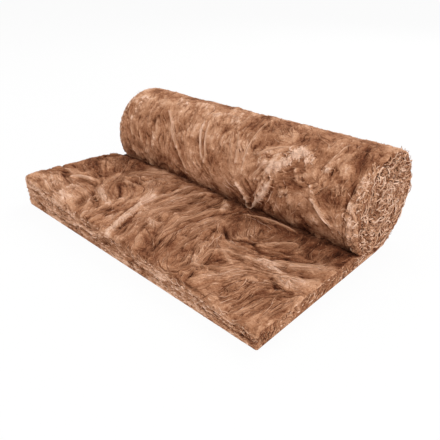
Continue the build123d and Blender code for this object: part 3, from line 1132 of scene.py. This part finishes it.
class WoolShape(bpy.types.PropertyGroup):
    """Sizes of the blanket that the frame's box doesn't give."""

    loft_left: metres("Loft left", "Thickness of the tail at its left side", 0.118)
    loft_right: metres("Loft right", "Thickness of the tail at its right side", 0.058)
    roll_sag: metres("Roll sag", "How far the roll settles on the floor", 0.004)
    edge_round: metres("Edge round", "Radius of the soft edge over the cut end", 0.014)
    rim_round: metres("Rim round", "Radius of the edges along the cut sides", 0.006)
    left_rim_round: metres("Left rim round", "Radius of the roll's softer left rim", 0.024)
    crevice_depth: metres("Crevice depth", "How far the tail dips in front of the roll", 0.018)
    crevice_reach: metres("Crevice reach", "How far in front of the roll that dip begins", 0.060)
    swell_height: metres("Swell height", "Most that the tail's top rises or sinks", 0.011)
    swell_fade: metres("Swell fade", "Distance over which the swells die out", 0.160)
    left_tilt: metres("Left tilt", "Rise of the tail's left edge at the free end", 0.008)
    lump_height: metres("Lump height", "Height of the wool's broad lumps", 0.0018)
    tuft_height: metres("Tuft height", "Height of the tufts over the creases between them", 0.0020)
    streak_height: metres("Streak height", "Height of the fine streaks", 0.0008)
    felt_height: metres("Felt height", "Height of the felt's knots and pits", 0.0016)
    eye_forward: metres("Eye along Y", "Place of the winding's eye from the axis", -0.0386)
    eye_up: metres("Eye along Z", "Height of the winding's eye above the axis", 0.046)
    turn_pitch: metres("Turn pitch", "Thickness of one wound turn", 0.046)
    tail_strands: whole("Tail strands", "Strands combed over the tail", 3600)
    roll_strands: whole("Roll strands", "Strands combed over the roll", 3400)
    end_strands: whole("End strands", "Strands tangled on each cut side", 1900)
    lip_strands: whole("Lip strands", "Strands curled over each rim", 260)
    stray_fibres: whole("Stray fibres", "Fibres that stand out at each rim", 60)
    edge_strands: whole("Edge strands", "Strands layered on the cut end", 2600)
    seed: whole("Seed", "Start of every random draw", 7)


class WoolLook(bpy.types.PropertyGroup):
    """Colours and finish of the wool."""

    # The two darkest colours serve the wool's own dark patches and the painted shade in hollows, creases and
    # the crevice.
    dark_wool_and_shade: paint("Hollows", "Colour deep between tufts", (0.056, 0.015, 0.006))
    shaded: paint("Shaded wool", "Colour of sunk wool", (0.178, 0.059, 0.026))
    body: paint("Body", "Colour of the matted wool", (0.375, 0.168, 0.085))
    tuft: paint("Tufts", "Colour of raised tufts", (0.610, 0.327, 0.192))
    loose: paint("Loose ends", "Colour of pale loose wool", (0.860, 0.575, 0.420))
    roughness: fraction("Roughness", "How matt the wool is", 0.9)
    gloss: fraction("Gloss", "How much light its fibres mirror", 0.1)


class WoolStage(bpy.types.PropertyGroup):
    """Floor, light and camera."""

    floor_colour: paint("Floor", "Colour of the floor", (0.85, 0.85, 0.85))
    floor_glow: fraction("Floor white", "Share of the floor that shows plain white", 0.93)
    sky: FloatProperty(name="Sky", description="Strength of the light from all round", default=0.55)
    key_power: watts("Key light", "Power of the soft front light", 215.0)
    back_power: watts("Back light", "Power of the light behind", 170.0)
    side_power: watts("Side light", "Power of the light on the left", 80.0)
    camera_place: FloatVectorProperty(
        name="Camera",
        description="Place of the camera",
        default=(1.1246, -1.0979, 0.8547),
        subtype="TRANSLATION",
        unit="LENGTH",
        size=3,
    )
    camera_turn: degrees("Camera turn", "Turn of the view about Z", 43.54)
    camera_tilt: degrees("Camera tilt", "How far the view points down", 28.96)
    lens: FloatProperty(name="Lens", description="Focal length in millimetres", default=37.64)


# Rows and columns of the skins' grids. Those of the roll go from one angle in degrees to another.
TAIL_COLUMNS = 395
FACE_ROWS = 34
TOP_ROWS = 166
HIDDEN_ROWS = 6
BACK_ROWS = 5
UNDER_ROWS = 8
ROLL_COLUMNS = 318
ROLL_SHOWN_ROWS = (60, 225, 150)
ROLL_HIDDEN_ROWS = (225, 420, 72)
FAN_RINGS = 36
RIM_STATIONS = 5

# Tone of hidden wool, and tones added to the skin of the tail's cut sides and of the roll's ends.
HIDDEN_TONE = -0.3
SIDE_TONE = -0.15
END_TONE = -0.18

# Where strands start and stay. Angles go about the roll's axis from the back over the top.
FRONT_DEGREES = (70, 212)
BACK_DEGREES = (-70, 70)
LOWEST_BACK_DEGREES = -76
LIP_DEGREES = (120, 222)
STRAY_DEGREES = (50, 35)  # middle and spread of the places where stray fibres stand
LIP_START = 0.024  # lip strands start this near to the cut side
LIP_LIMIT = 0.027  # and they stay this near
START_MARGIN = 0.008  # strands on the cut sides start this far inside the tail's outline
ROLL_MARGIN = 0.012  # or this far inside the roll's circle
HELD_MARGIN = 0.004  # and they stay this far inside either

# Clumps on the cut end: their share of its strands, their length, and how much wider they are.
CLUMP_SHARE = 0.45
CLUMP_LENGTH = (0.006, 0.018)
CLUMP_WIDTH = 1.9

# Shifts of the seed that give each piece its own row of random draws.
TAIL_DRAWS = 0
ROLL_DRAWS = 10
END_DRAWS = 20
EDGE_DRAWS = 30
TUFT_DRAWS = 40

# Each lamp's name, place, size and the property that holds its power.
LAMPS = (
    ("key_light", (4.9, -2.4, 3.3), 4.0, "key_power"),
    ("side_light", (-3.0, -3.6, 3.8), 3.0, "side_power"),
    ("back_light", (-0.6, 4.2, 4.0), 4.0, "back_power"),
)
LAMP_AIM_HEIGHT = 0.15
FLOOR_REACH = 20.0
SENSOR_WIDTH = 36.0


def settle(piece):
    """Every piece rides on the one body."""
    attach(piece, BODY)


def material(name, maker, look):
    """The material of that name, made on first use."""
    return bpy.data.materials.get(name) or maker(name, look)


def lay_skin(context, name, grids):
    """Makes a closed felted skin, which stands in for the solid and is padded."""
    piece = closed_skin(name, grids, material("wool_felt", skin_finish, context.scene.wool_look))
    settle(piece)
    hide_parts(NODE)


def begin(context, shift):
    """The sizes, the surfaces, and the random draws of a piece."""
    shape = context.scene.wool_shape
    return shape, Blanket(shape), np.random.default_rng(shape.seed + shift)


def lay_strands(context, name, groups, shift):
    """Makes one piece from groups of strands, each given as points, normals, widths and tones."""
    seed = context.scene.wool_shape.seed + shift + 1
    points, normals, widths, tones = (np.concatenate(part) for part in zip(*groups))
    finish = material("wool_strands", strand_finish, context.scene.wool_look)
    settle(strand_object(name, points, normals, widths, tones, finish, seed))


def columns(half, rims, count):
    """Stations across the blanket: even over its flat width, and four more over each soft rim."""
    quarter = math.pi / 2 * np.linspace(0, 1, RIM_STATIONS)
    left, right = (half - rim + rim * quarter for rim in rims)
    return np.concatenate([-left[:0:-1], np.linspace(-left[0], right[0], count), right[1:]])


def combed(dress, paths, strand, rng):
    """Strands on a dressed surface, which take its tone and are darker the thicker they are."""
    count = len(paths)
    points, normals, field = dress(paths[..., 0], paths[..., 1], strand.lifts(count, rng))
    girth = rng.random((count, 1)) ** 2
    tones = field + 0.12 - 0.25 * girth + rng.normal(0, 0.32, (count, 1))
    return points, normals, strand.widths(girth), tones


class WOOL_OT_tail_skin(bpy.types.Operator):
    """Make the tail's felted skin: its cut end and top in one grid, closed by sides, back and underside"""

    bl_idname = "wool.make_tail"
    bl_label = "Make tail"

    def execute(self, context):
        wool = Blanket(context.scene.wool_shape)
        across = columns(wool.half, (wool.rim, wool.rim), TAIL_COLUMNS)
        x = np.clip(across, -wool.flat, wool.flat)
        lowest = wool.face_top - (wool.loft(x) - wool.edge)
        face = lowest + (wool.face_top - lowest) * np.linspace(0, 1, FACE_ROWS)[:, None]
        crevice = wool.crevice_line(x)
        top = wool.face_top + (crevice - wool.face_top) * np.linspace(0, 1, TOP_ROWS)[1:, None]
        hidden = crevice + (wool.axis_y - crevice) * np.linspace(0, 1, HIDDEN_ROWS)[1:, None]
        along = np.concatenate([face, top, hidden])
        points, _, tone = wool.dressed_tail(np.broadcast_to(across, along.shape), along)
        heel = points[-1] * np.array((1, 1, 0))
        back = self.span(points[-1], heel, BACK_ROWS)
        under = self.span(heel, points[0], UNDER_ROWS)
        grids = [(points, tone)] + [(grid, np.full(grid.shape[:2], HIDDEN_TONE)) for grid in (back, under)]
        for side, column in ((-1, 0), (1, -1)):
            grids.append(self.side(wool, side, points[:, column], heel[column]))
        lay_skin(context, "tail_skin", grids)
        return {"FINISHED"}

    def span(self, start, end, count):
        """A straight blend from one row of points to another."""
        share = np.linspace(0, 1, count)[:, None, None]
        return start * (1 - share) + end * share

    def side(self, wool, side, rim, heel):
        """The cut side: the blend from floor to crown and the blend from front to rear are added, and the
        blend of the four corners is taken off. Away from its edges the wool's relief raises it."""
        front, crown = rim[:FACE_ROWS], rim[FACE_ROWS - 1 :]
        share = np.linspace(0, 1, len(crown))
        rise = np.linspace(0, 1, FACE_ROWS)
        floor = front[0] + share[:, None] * (heel - front[0])
        rear = heel + rise[:, None] * (crown[-1] - heel)
        u, v = share[:, None, None], rise[None, :, None]
        blend = (1 - v) * floor[:, None] + v * crown[:, None] + (1 - u) * front[None] + u * rear[None]
        blend -= (1 - u) * ((1 - v) * front[0] + v * front[-1]) + u * ((1 - v) * heel + v * crown[-1])
        raised, _, tone = wool.dressed_cap(side, blend[..., 1], blend[..., 2])
        inner = smooth_step(np.minimum(v, 1 - v) * 5) * smooth_step(np.minimum(u, 1 - u) * 12)
        return blend * (1 - inner) + raised * inner, tone + SIDE_TONE


class WOOL_OT_roll_skin(bpy.types.Operator):
    """Make the roll's felted skin: a turned grid, closed at both ends by a fan to the eye of the winding"""

    bl_idname = "wool.make_roll"
    bl_label = "Make roll"

    def execute(self, context):
        wool = Blanket(context.scene.wool_shape)
        across = columns(wool.half, wool.roll_rims, ROLL_COLUMNS)
        shown, hidden = np.linspace(*ROLL_SHOWN_ROWS), np.linspace(*ROLL_HIDDEN_ROWS)
        angles = np.radians(np.concatenate([shown[:-1], hidden]))
        wide, arc = np.meshgrid(across, angles * wool.radius)
        points, _, tone = wool.dressed_roll(wide, arc)
        points[-1], tone[-1] = points[0], tone[0]
        grids = [(points, tone)]
        for side, column in ((-1, 0), (1, -1)):
            grids.append(self.end(wool, side, points[:, column]))
        lay_skin(context, "roll_skin", grids)
        return {"FINISHED"}

    def end(self, wool, side, rim):
        """Straight lines from the rim to the eye, raised by the wool's relief away from the rim."""
        eye = np.array((side * wool.half, wool.axis_y + wool.eye[0], wool.axis_z + wool.eye[1]))
        inwards = np.linspace(0, 1, FAN_RINGS)[:, None]
        fan = rim[:, None] * (1 - inwards) + eye * inwards
        raised, _, tone = wool.dressed_cap(side, fan[..., 1], fan[..., 2])
        inner = smooth_step(inwards * 12)
        fan = fan * (1 - inner) + raised * inner
        fan[:, -1] = fan[0, -1]
        return fan, tone + END_TONE


class WOOL_OT_tail_strands(bpy.types.Operator):
    """Comb strands over the tail, along its fibres"""

    bl_idname = "wool.comb_tail"
    bl_label = "Comb tail"

    def execute(self, context):
        shape, wool, rng = begin(context, TAIL_DRAWS)
        count = shape.tail_strands
        across = rng.uniform(-wool.flat, wool.flat, count)
        along = rng.uniform(wool.front, wool.roll_front, count)
        lengths = TAIL_STRAND.lengths(count, rng)
        paths = TAIL_STRAND.comb(np.stack([across, along], -1), lengths, wool.tail_sheet.flow, rng)
        strands = combed(wool.dressed_tail, paths, TAIL_STRAND, rng)
        lay_strands(context, "tail_strands", [strands], TAIL_DRAWS)
        return {"FINISHED"}


class WOOL_OT_roll_strands(bpy.types.Operator):
    """Comb shorter strands round the roll"""

    bl_idname = "wool.comb_roll"
    bl_label = "Comb roll"

    def execute(self, context):
        shape, wool, rng = begin(context, ROLL_DRAWS)
        count = shape.roll_strands
        ahead = count * 6 // 10
        turns = [rng.uniform(*FRONT_DEGREES, ahead), rng.uniform(*BACK_DEGREES, count - ahead)]
        arc = np.radians(np.concatenate(turns)) * wool.radius
        starts = np.stack([rng.uniform(-wool.flat, wool.flat, count), arc], -1)
        lengths = ROLL_STRAND.lengths(count, rng)
        paths = ROLL_STRAND.comb(starts, lengths, wool.roll_sheet.flow, rng)
        lowest_back = math.radians(LOWEST_BACK_DEGREES) * wool.radius
        crevice = wool.crevice_angle(np.clip(paths[..., 0], -wool.half, wool.half)) * wool.radius
        paths[..., 1] = np.clip(paths[..., 1], lowest_back, crevice)
        strands = combed(wool.dressed_roll, paths, ROLL_STRAND, rng)
        lay_strands(context, "roll_strands", [strands], ROLL_DRAWS)
        return {"FINISHED"}


class WOOL_OT_ends(bpy.types.Operator):
    """Tangle curly strands on both cut sides, round the winding on the roll and at a slant on the tail"""

    bl_idname = "wool.tangle_ends"
    bl_label = "Tangle ends"

    def execute(self, context):
        shape, wool, rng = begin(context, END_DRAWS)
        sides = (-1, 1)
        groups = [self.tangle(wool, side, shape.end_strands, rng) for side in sides]
        groups += [self.lip(wool, side, shape.lip_strands, rng) for side in sides]
        groups += [self.strays(wool, side, shape.stray_fibres, rng) for side in sides]
        lay_strands(context, "end_strands", groups, END_DRAWS)
        return {"FINISHED"}

    def tangle(self, wool, side, count, rng):
        """Curly strands. Their starts are kept where they fall inside the side's outline: the slab of the
        tail or the roll's circle. Those on the tail are shorter, flatter and darker."""
        y = rng.uniform(wool.front + START_MARGIN, wool.axis_y + wool.radius, count * 4)
        z = rng.uniform(HELD_MARGIN, 2 * wool.radius, count * 4)
        in_roll = np.hypot(y - wool.axis_y, z - wool.axis_z) < wool.radius - ROLL_MARGIN
        in_tail = (z < float(wool.loft(side * wool.half)) - START_MARGIN) & (y < wool.axis_y)
        starts = np.stack([y, z], -1)[in_roll | in_tail][:count]
        count = len(starts)
        on_tail = starts[:, 0] < wool.axis_y - 0.8 * wool.radius
        lengths = END_STRAND.lengths(count, rng) * np.where(on_tail, 0.4, 1.0)
        paths = self.kept_in(wool, side, END_STRAND.comb(starts, lengths, wool.cap_sheet.flow, rng))
        lift = END_STRAND.lifts(count, rng) * np.where(on_tail, 0.5, 1.0)[:, None]
        points, normals, field = wool.dressed_cap(side, paths[..., 0], paths[..., 1], lift)
        girth = rng.random((count, 1)) ** 1.5
        pale = np.where(on_tail, -0.10, 0.36)[:, None] + 0.45 * girth
        tones = 0.5 * field + pale + rng.normal(0, 0.36, (count, 1))
        return points, normals, END_STRAND.widths(girth), tones

    def lip(self, wool, side, count, rng):
        """Strands that curl over the rim at the front, from the lip of the outer turn to the cut side."""
        across = rng.uniform(wool.half - LIP_START, wool.half, count)
        arc = np.radians(rng.uniform(*LIP_DEGREES, count)) * wool.radius
        starts = np.stack([side * across, arc], -1)
        paths = LIP_STRAND.comb(starts, LIP_STRAND.lengths(count, rng), self.round_rim, rng)
        outermost = wool.half + 0.4 * wool.roll_rims[side > 0]
        across = side * np.clip(side * paths[..., 0], wool.half - LIP_LIMIT, outermost)
        arc = np.minimum(paths[..., 1], wool.crevice_angle(side * wool.half) * wool.radius)
        points, normals, field = wool.dressed_roll(across, arc, LIP_STRAND.arches(count, rng))
        girth = rng.random((count, 1)) ** 1.5
        # Painted shade: the strands darken low on the rim, down towards the crevice.
        low = smooth_step((arc / wool.radius - math.radians(180)) / math.radians(30))
        tones = 0.4 * field + 0.2 + 0.40 * girth - 0.6 * low + rng.normal(0, 0.36, (count, 1))
        return points, normals, LIP_STRAND.widths(girth), tones

    def round_rim(self, places):
        """Heading round the roll, with swirls."""
        return math.pi / 2 + 0.8 * noise(places, LIP_SWIRL_SIZE, 84)

    def strays(self, wool, side, count, rng):
        """Loose fibres that stand out from the roll's rim: a start, plus a way times the share of the
        length, plus a bend times that share squared."""
        arc = np.radians(rng.normal(*STRAY_DEGREES, count)) * wool.radius
        starts, out = wool.roll(np.full(count, side * wool.flat), arc)
        aside = side * rng.uniform(0.1, 1.0, (count, 1)) * np.array((1.0, 0, 0))
        way = unit(out + aside + rng.normal(0, 0.5, (count, 3)))
        bend = 0.7 * unit(rng.normal(0, 1, (count, 3)))
        share = np.linspace(0, 1, STRAY_FIBRE.steps)[:, None]
        reach = STRAY_FIBRE.lengths((count, 1, 1), rng)
        points = starts[:, None] + reach * (way[:, None] * share + bend[:, None] * share**2)
        widths = STRAY_FIBRE.widths(rng.random((count, 1)))
        tones = np.broadcast_to(rng.normal(0.1, 0.25, (count, 1)), widths.shape)
        return points, np.broadcast_to(out[:, None], points.shape), widths, tones

    def kept_in(self, wool, side, paths):
        """Strands brought back inside the side's outline: into the slab or the circle, whichever is nearer
        to the whole strand."""
        along = np.clip(paths[..., 0], wool.front + HELD_MARGIN, wool.axis_y)
        crown = wool.tail(np.full(along.shape, side * wool.flat), along)[0][..., 2]
        slab = np.stack([along, np.clip(paths[..., 1], HELD_MARGIN, crown - HELD_MARGIN)], -1)
        axis = np.array((wool.axis_y, wool.axis_z))
        offset = paths - axis
        reach = np.maximum(np.linalg.norm(offset, axis=-1, keepdims=True), HELD_MARGIN)
        circle = axis + offset * np.minimum(1, (wool.radius - HELD_MARGIN) / reach)
        circle[..., 1] = np.maximum(circle[..., 1], HELD_MARGIN)
        to_slab, to_circle = (np.linalg.norm(paths - held, axis=(1, 2)) for held in (slab, circle))
        return np.where((to_slab < to_circle)[:, None, None], slab, circle)


class WOOL_OT_edge(bpy.types.Operator):
    """Layer level strands and short clumps on the cut end of the tail"""

    bl_idname = "wool.layer_edge"
    bl_label = "Layer cut end"

    def execute(self, context):
        shape, wool, rng = begin(context, EDGE_DRAWS)
        count = shape.edge_strands
        across = rng.uniform(-wool.flat, wool.flat, count)
        depth = rng.uniform(-0.1, 1.0, count) * (wool.loft(across) - wool.edge)
        starts = np.stack([across, wool.face_top - depth], -1)
        clump = rng.random(count) < CLUMP_SHARE
        lengths = np.where(clump, rng.uniform(*CLUMP_LENGTH, count), EDGE_STRAND.lengths(count, rng))
        paths = EDGE_STRAND.comb(starts, lengths, wool.tail_sheet.flow, rng)
        lift = EDGE_STRAND.lifts(count, rng)
        points, normals, field = wool.dressed_tail(paths[..., 0], paths[..., 1], lift)
        tones = field + np.where(clump, 0.20, 0.04)[:, None] + rng.normal(0, 0.52, (count, 1))
        broad = np.where(clump, CLUMP_WIDTH, 1.0)[:, None]
        widths = EDGE_STRAND.widths(rng.random((count, 1))) * broad
        lay_strands(context, "edge_strands", [(points, normals, widths, tones)], EDGE_DRAWS)
        return {"FINISHED"}


class WOOL_OT_tufts(bpy.types.Operator):
    """Lay the pale tufts and pulled strands that stand out on the tail and on the roll"""

    bl_idname = "wool.lay_tufts"
    bl_label = "Lay tufts"

    def execute(self, context):
        _, wool, rng = begin(context, TUFT_DRAWS)
        groups = []
        for guides, dress in ((wool.tail_guides, wool.dressed_tail), (wool.roll_guides, wool.dressed_roll)):
            groups.append(self.bundles(guides, dress, rng))
            groups.append(self.curls(guides, dress, rng))
        lay_strands(context, "pale_tufts", groups, TUFT_DRAWS)
        return {"FINISHED"}

    def bundles(self, guides, dress, rng):
        """Strands along the guides, arched between ends that sink in and carry painted shade."""
        paths, pale, lifts = guides.bundles(BUNDLE_STRAND.steps, rng)
        ends = np.linspace(-1, 1, BUNDLE_STRAND.steps) ** 4
        lift = lifts[:, None] * BUNDLE_STRAND.hump - BUNDLE_SINK * ends
        points, normals, field = dress(paths[..., 0], paths[..., 1], lift)
        # Painted shade: the sunk ends of each strand take a darker tone.
        tones = 0.7 * pale[:, None] + 0.35 * field - 0.2 * ends
        girth = rng.random((len(paths), 1)) ** 1.5
        return points, normals, BUNDLE_STRAND.widths(girth), tones

    def curls(self, guides, dress, rng):
        """Curls about the puffs, each arched a little."""
        paths, pale = guides.curls(rng)
        lift = CURL_STRAND.arches(len(paths), rng) + CURL_LEAST_ARCH * CURL_STRAND.hump
        points, normals, field = dress(paths[..., 0], paths[..., 1], lift)
        tones = 0.6 * pale[:, None] + 0.35 * field
        return points, normals, CURL_STRAND.widths(rng.random((len(paths), 1))), tones


class WOOL_OT_stage(bpy.types.Operator):
    """Set the floor, the soft light and the camera"""

    bl_idname = "wool.set_stage"
    bl_label = "Set stage"

    def execute(self, context):
        stage = context.scene.wool_stage
        self.floor(stage)
        self.world(context.scene, stage)
        for name, place, size, power in LAMPS:
            self.lamp(name, place, size, getattr(stage, power))
        self.camera(context.scene, stage)
        context.scene.view_settings.view_transform = "Standard"
        return {"FINISHED"}

    def seen(self, finish):
        """1 where the camera, a mirror or clear glass looks, and 0 for light that falls on the object."""
        outputs = finish.put("ShaderNodeLightPath").socket.node.outputs
        seen = Value(finish, outputs["Is Camera Ray"]) + Value(finish, outputs["Is Glossy Ray"])
        return seen + Value(finish, outputs["Is Transmission Ray"])

    def floor(self, stage):
        """A wide square floor that shows white and keeps the object's shadow."""
        corners = ((-1, -1, 0), (1, -1, 0), (1, 1, 0), (-1, 1, 0))
        points = FLOOR_REACH * np.array(corners)
        finish = Finish(bpy.data.materials.new("pale_floor"))
        matt = finish.put("ShaderNodeBsdfDiffuse", {}, {"Color": (*stage.floor_colour, 1)})
        glow = finish.put("ShaderNodeEmission", {}, {"Color": (1, 1, 1, 1), "Strength": 1.0})
        share = self.seen(finish) * stage.floor_glow
        mixed = finish.put("ShaderNodeMixShader", {}, {0: share, 1: matt, 2: glow})
        finish.put("ShaderNodeOutputMaterial", {}, {"Surface": mixed})
        new_object("floor", points, np.arange(4), np.array((4,)), {}, finish.owner)

    def world(self, scene, stage):
        """An even white sky that lights softly and shows white."""
        scene.world = bpy.data.worlds.new("soft_sky")
        finish = Finish(scene.world)
        strength = stage.sky + self.seen(finish) * (1 - stage.sky)
        light = finish.put("ShaderNodeBackground", {}, {"Color": (1, 1, 1, 1), "Strength": strength})
        finish.put("ShaderNodeOutputWorld", {}, {"Surface": light})

    def lamp(self, name, place, size, power):
        """A square area lamp turned to the middle of the blanket."""
        data = bpy.data.lights.new(name, "AREA")
        data.energy = power
        data.size = size
        lamp = bpy.data.objects.new(name, data)
        bpy.context.scene.collection.objects.link(lamp)
        lamp.location = place
        towards = -lamp.location
        towards.z += LAMP_AIM_HEIGHT
        lamp.rotation_euler = towards.to_track_quat("-Z", "Y").to_euler()

    def camera(self, scene, stage):
        """The camera, level from side to side, turned about Z and tilted down."""
        data = bpy.data.cameras.new("camera")
        data.lens = stage.lens
        data.sensor_width = SENSOR_WIDTH
        camera = bpy.data.objects.new("camera", data)
        scene.collection.objects.link(camera)
        camera.location = stage.camera_place
        camera.rotation_euler = (math.pi / 2 - stage.camera_tilt, 0, stage.camera_turn)
        scene.camera = camera


class WOOL_PT_panel(bpy.types.Panel):
    """Sidebar panel with the blanket's pieces, sizes and finish"""

    bl_label = "Wool insulation roll"
    bl_idname = "WOOL_PT_panel"
    bl_space_type = "VIEW_3D"
    bl_region_type = "UI"
    bl_category = "Wool"

    def draw(self, context):
        layout = self.layout
        for operator in OPERATORS:
            layout.operator(operator.bl_idname)
        for group in (context.scene.wool_shape, context.scene.wool_look, context.scene.wool_stage):
            box = layout.box()
            for name in group.__annotations__:
                box.prop(group, name)


OPERATORS = (
    WOOL_OT_tail_skin,
    WOOL_OT_roll_skin,
    WOOL_OT_tail_strands,
    WOOL_OT_roll_strands,
    WOOL_OT_ends,
    WOOL_OT_edge,
    WOOL_OT_tufts,
    WOOL_OT_stage,
)
CLASSES = (WoolShape, WoolLook, WoolStage, *OPERATORS, WOOL_PT_panel)


def register():
    for item in CLASSES:
        bpy.utils.register_class(item)
    bpy.types.Scene.wool_shape = PointerProperty(type=WoolShape)
    bpy.types.Scene.wool_look = PointerProperty(type=WoolLook)
    bpy.types.Scene.wool_stage = PointerProperty(type=WoolStage)


def unregister():
    del bpy.types.Scene.wool_stage
    del bpy.types.Scene.wool_look
    del bpy.types.Scene.wool_shape
    for item in reversed(CLASSES):
        bpy.utils.unregister_class(item)


def main():
    register()
    bpy.ops.wool.make_tail()
    bpy.ops.wool.make_roll()
    bpy.ops.wool.comb_tail()
    bpy.ops.wool.comb_roll()
    bpy.ops.wool.tangle_ends()
    bpy.ops.wool.layer_edge()
    bpy.ops.wool.lay_tufts()
    bpy.ops.wool.set_stage()


if __name__ == "__main__":
    main()
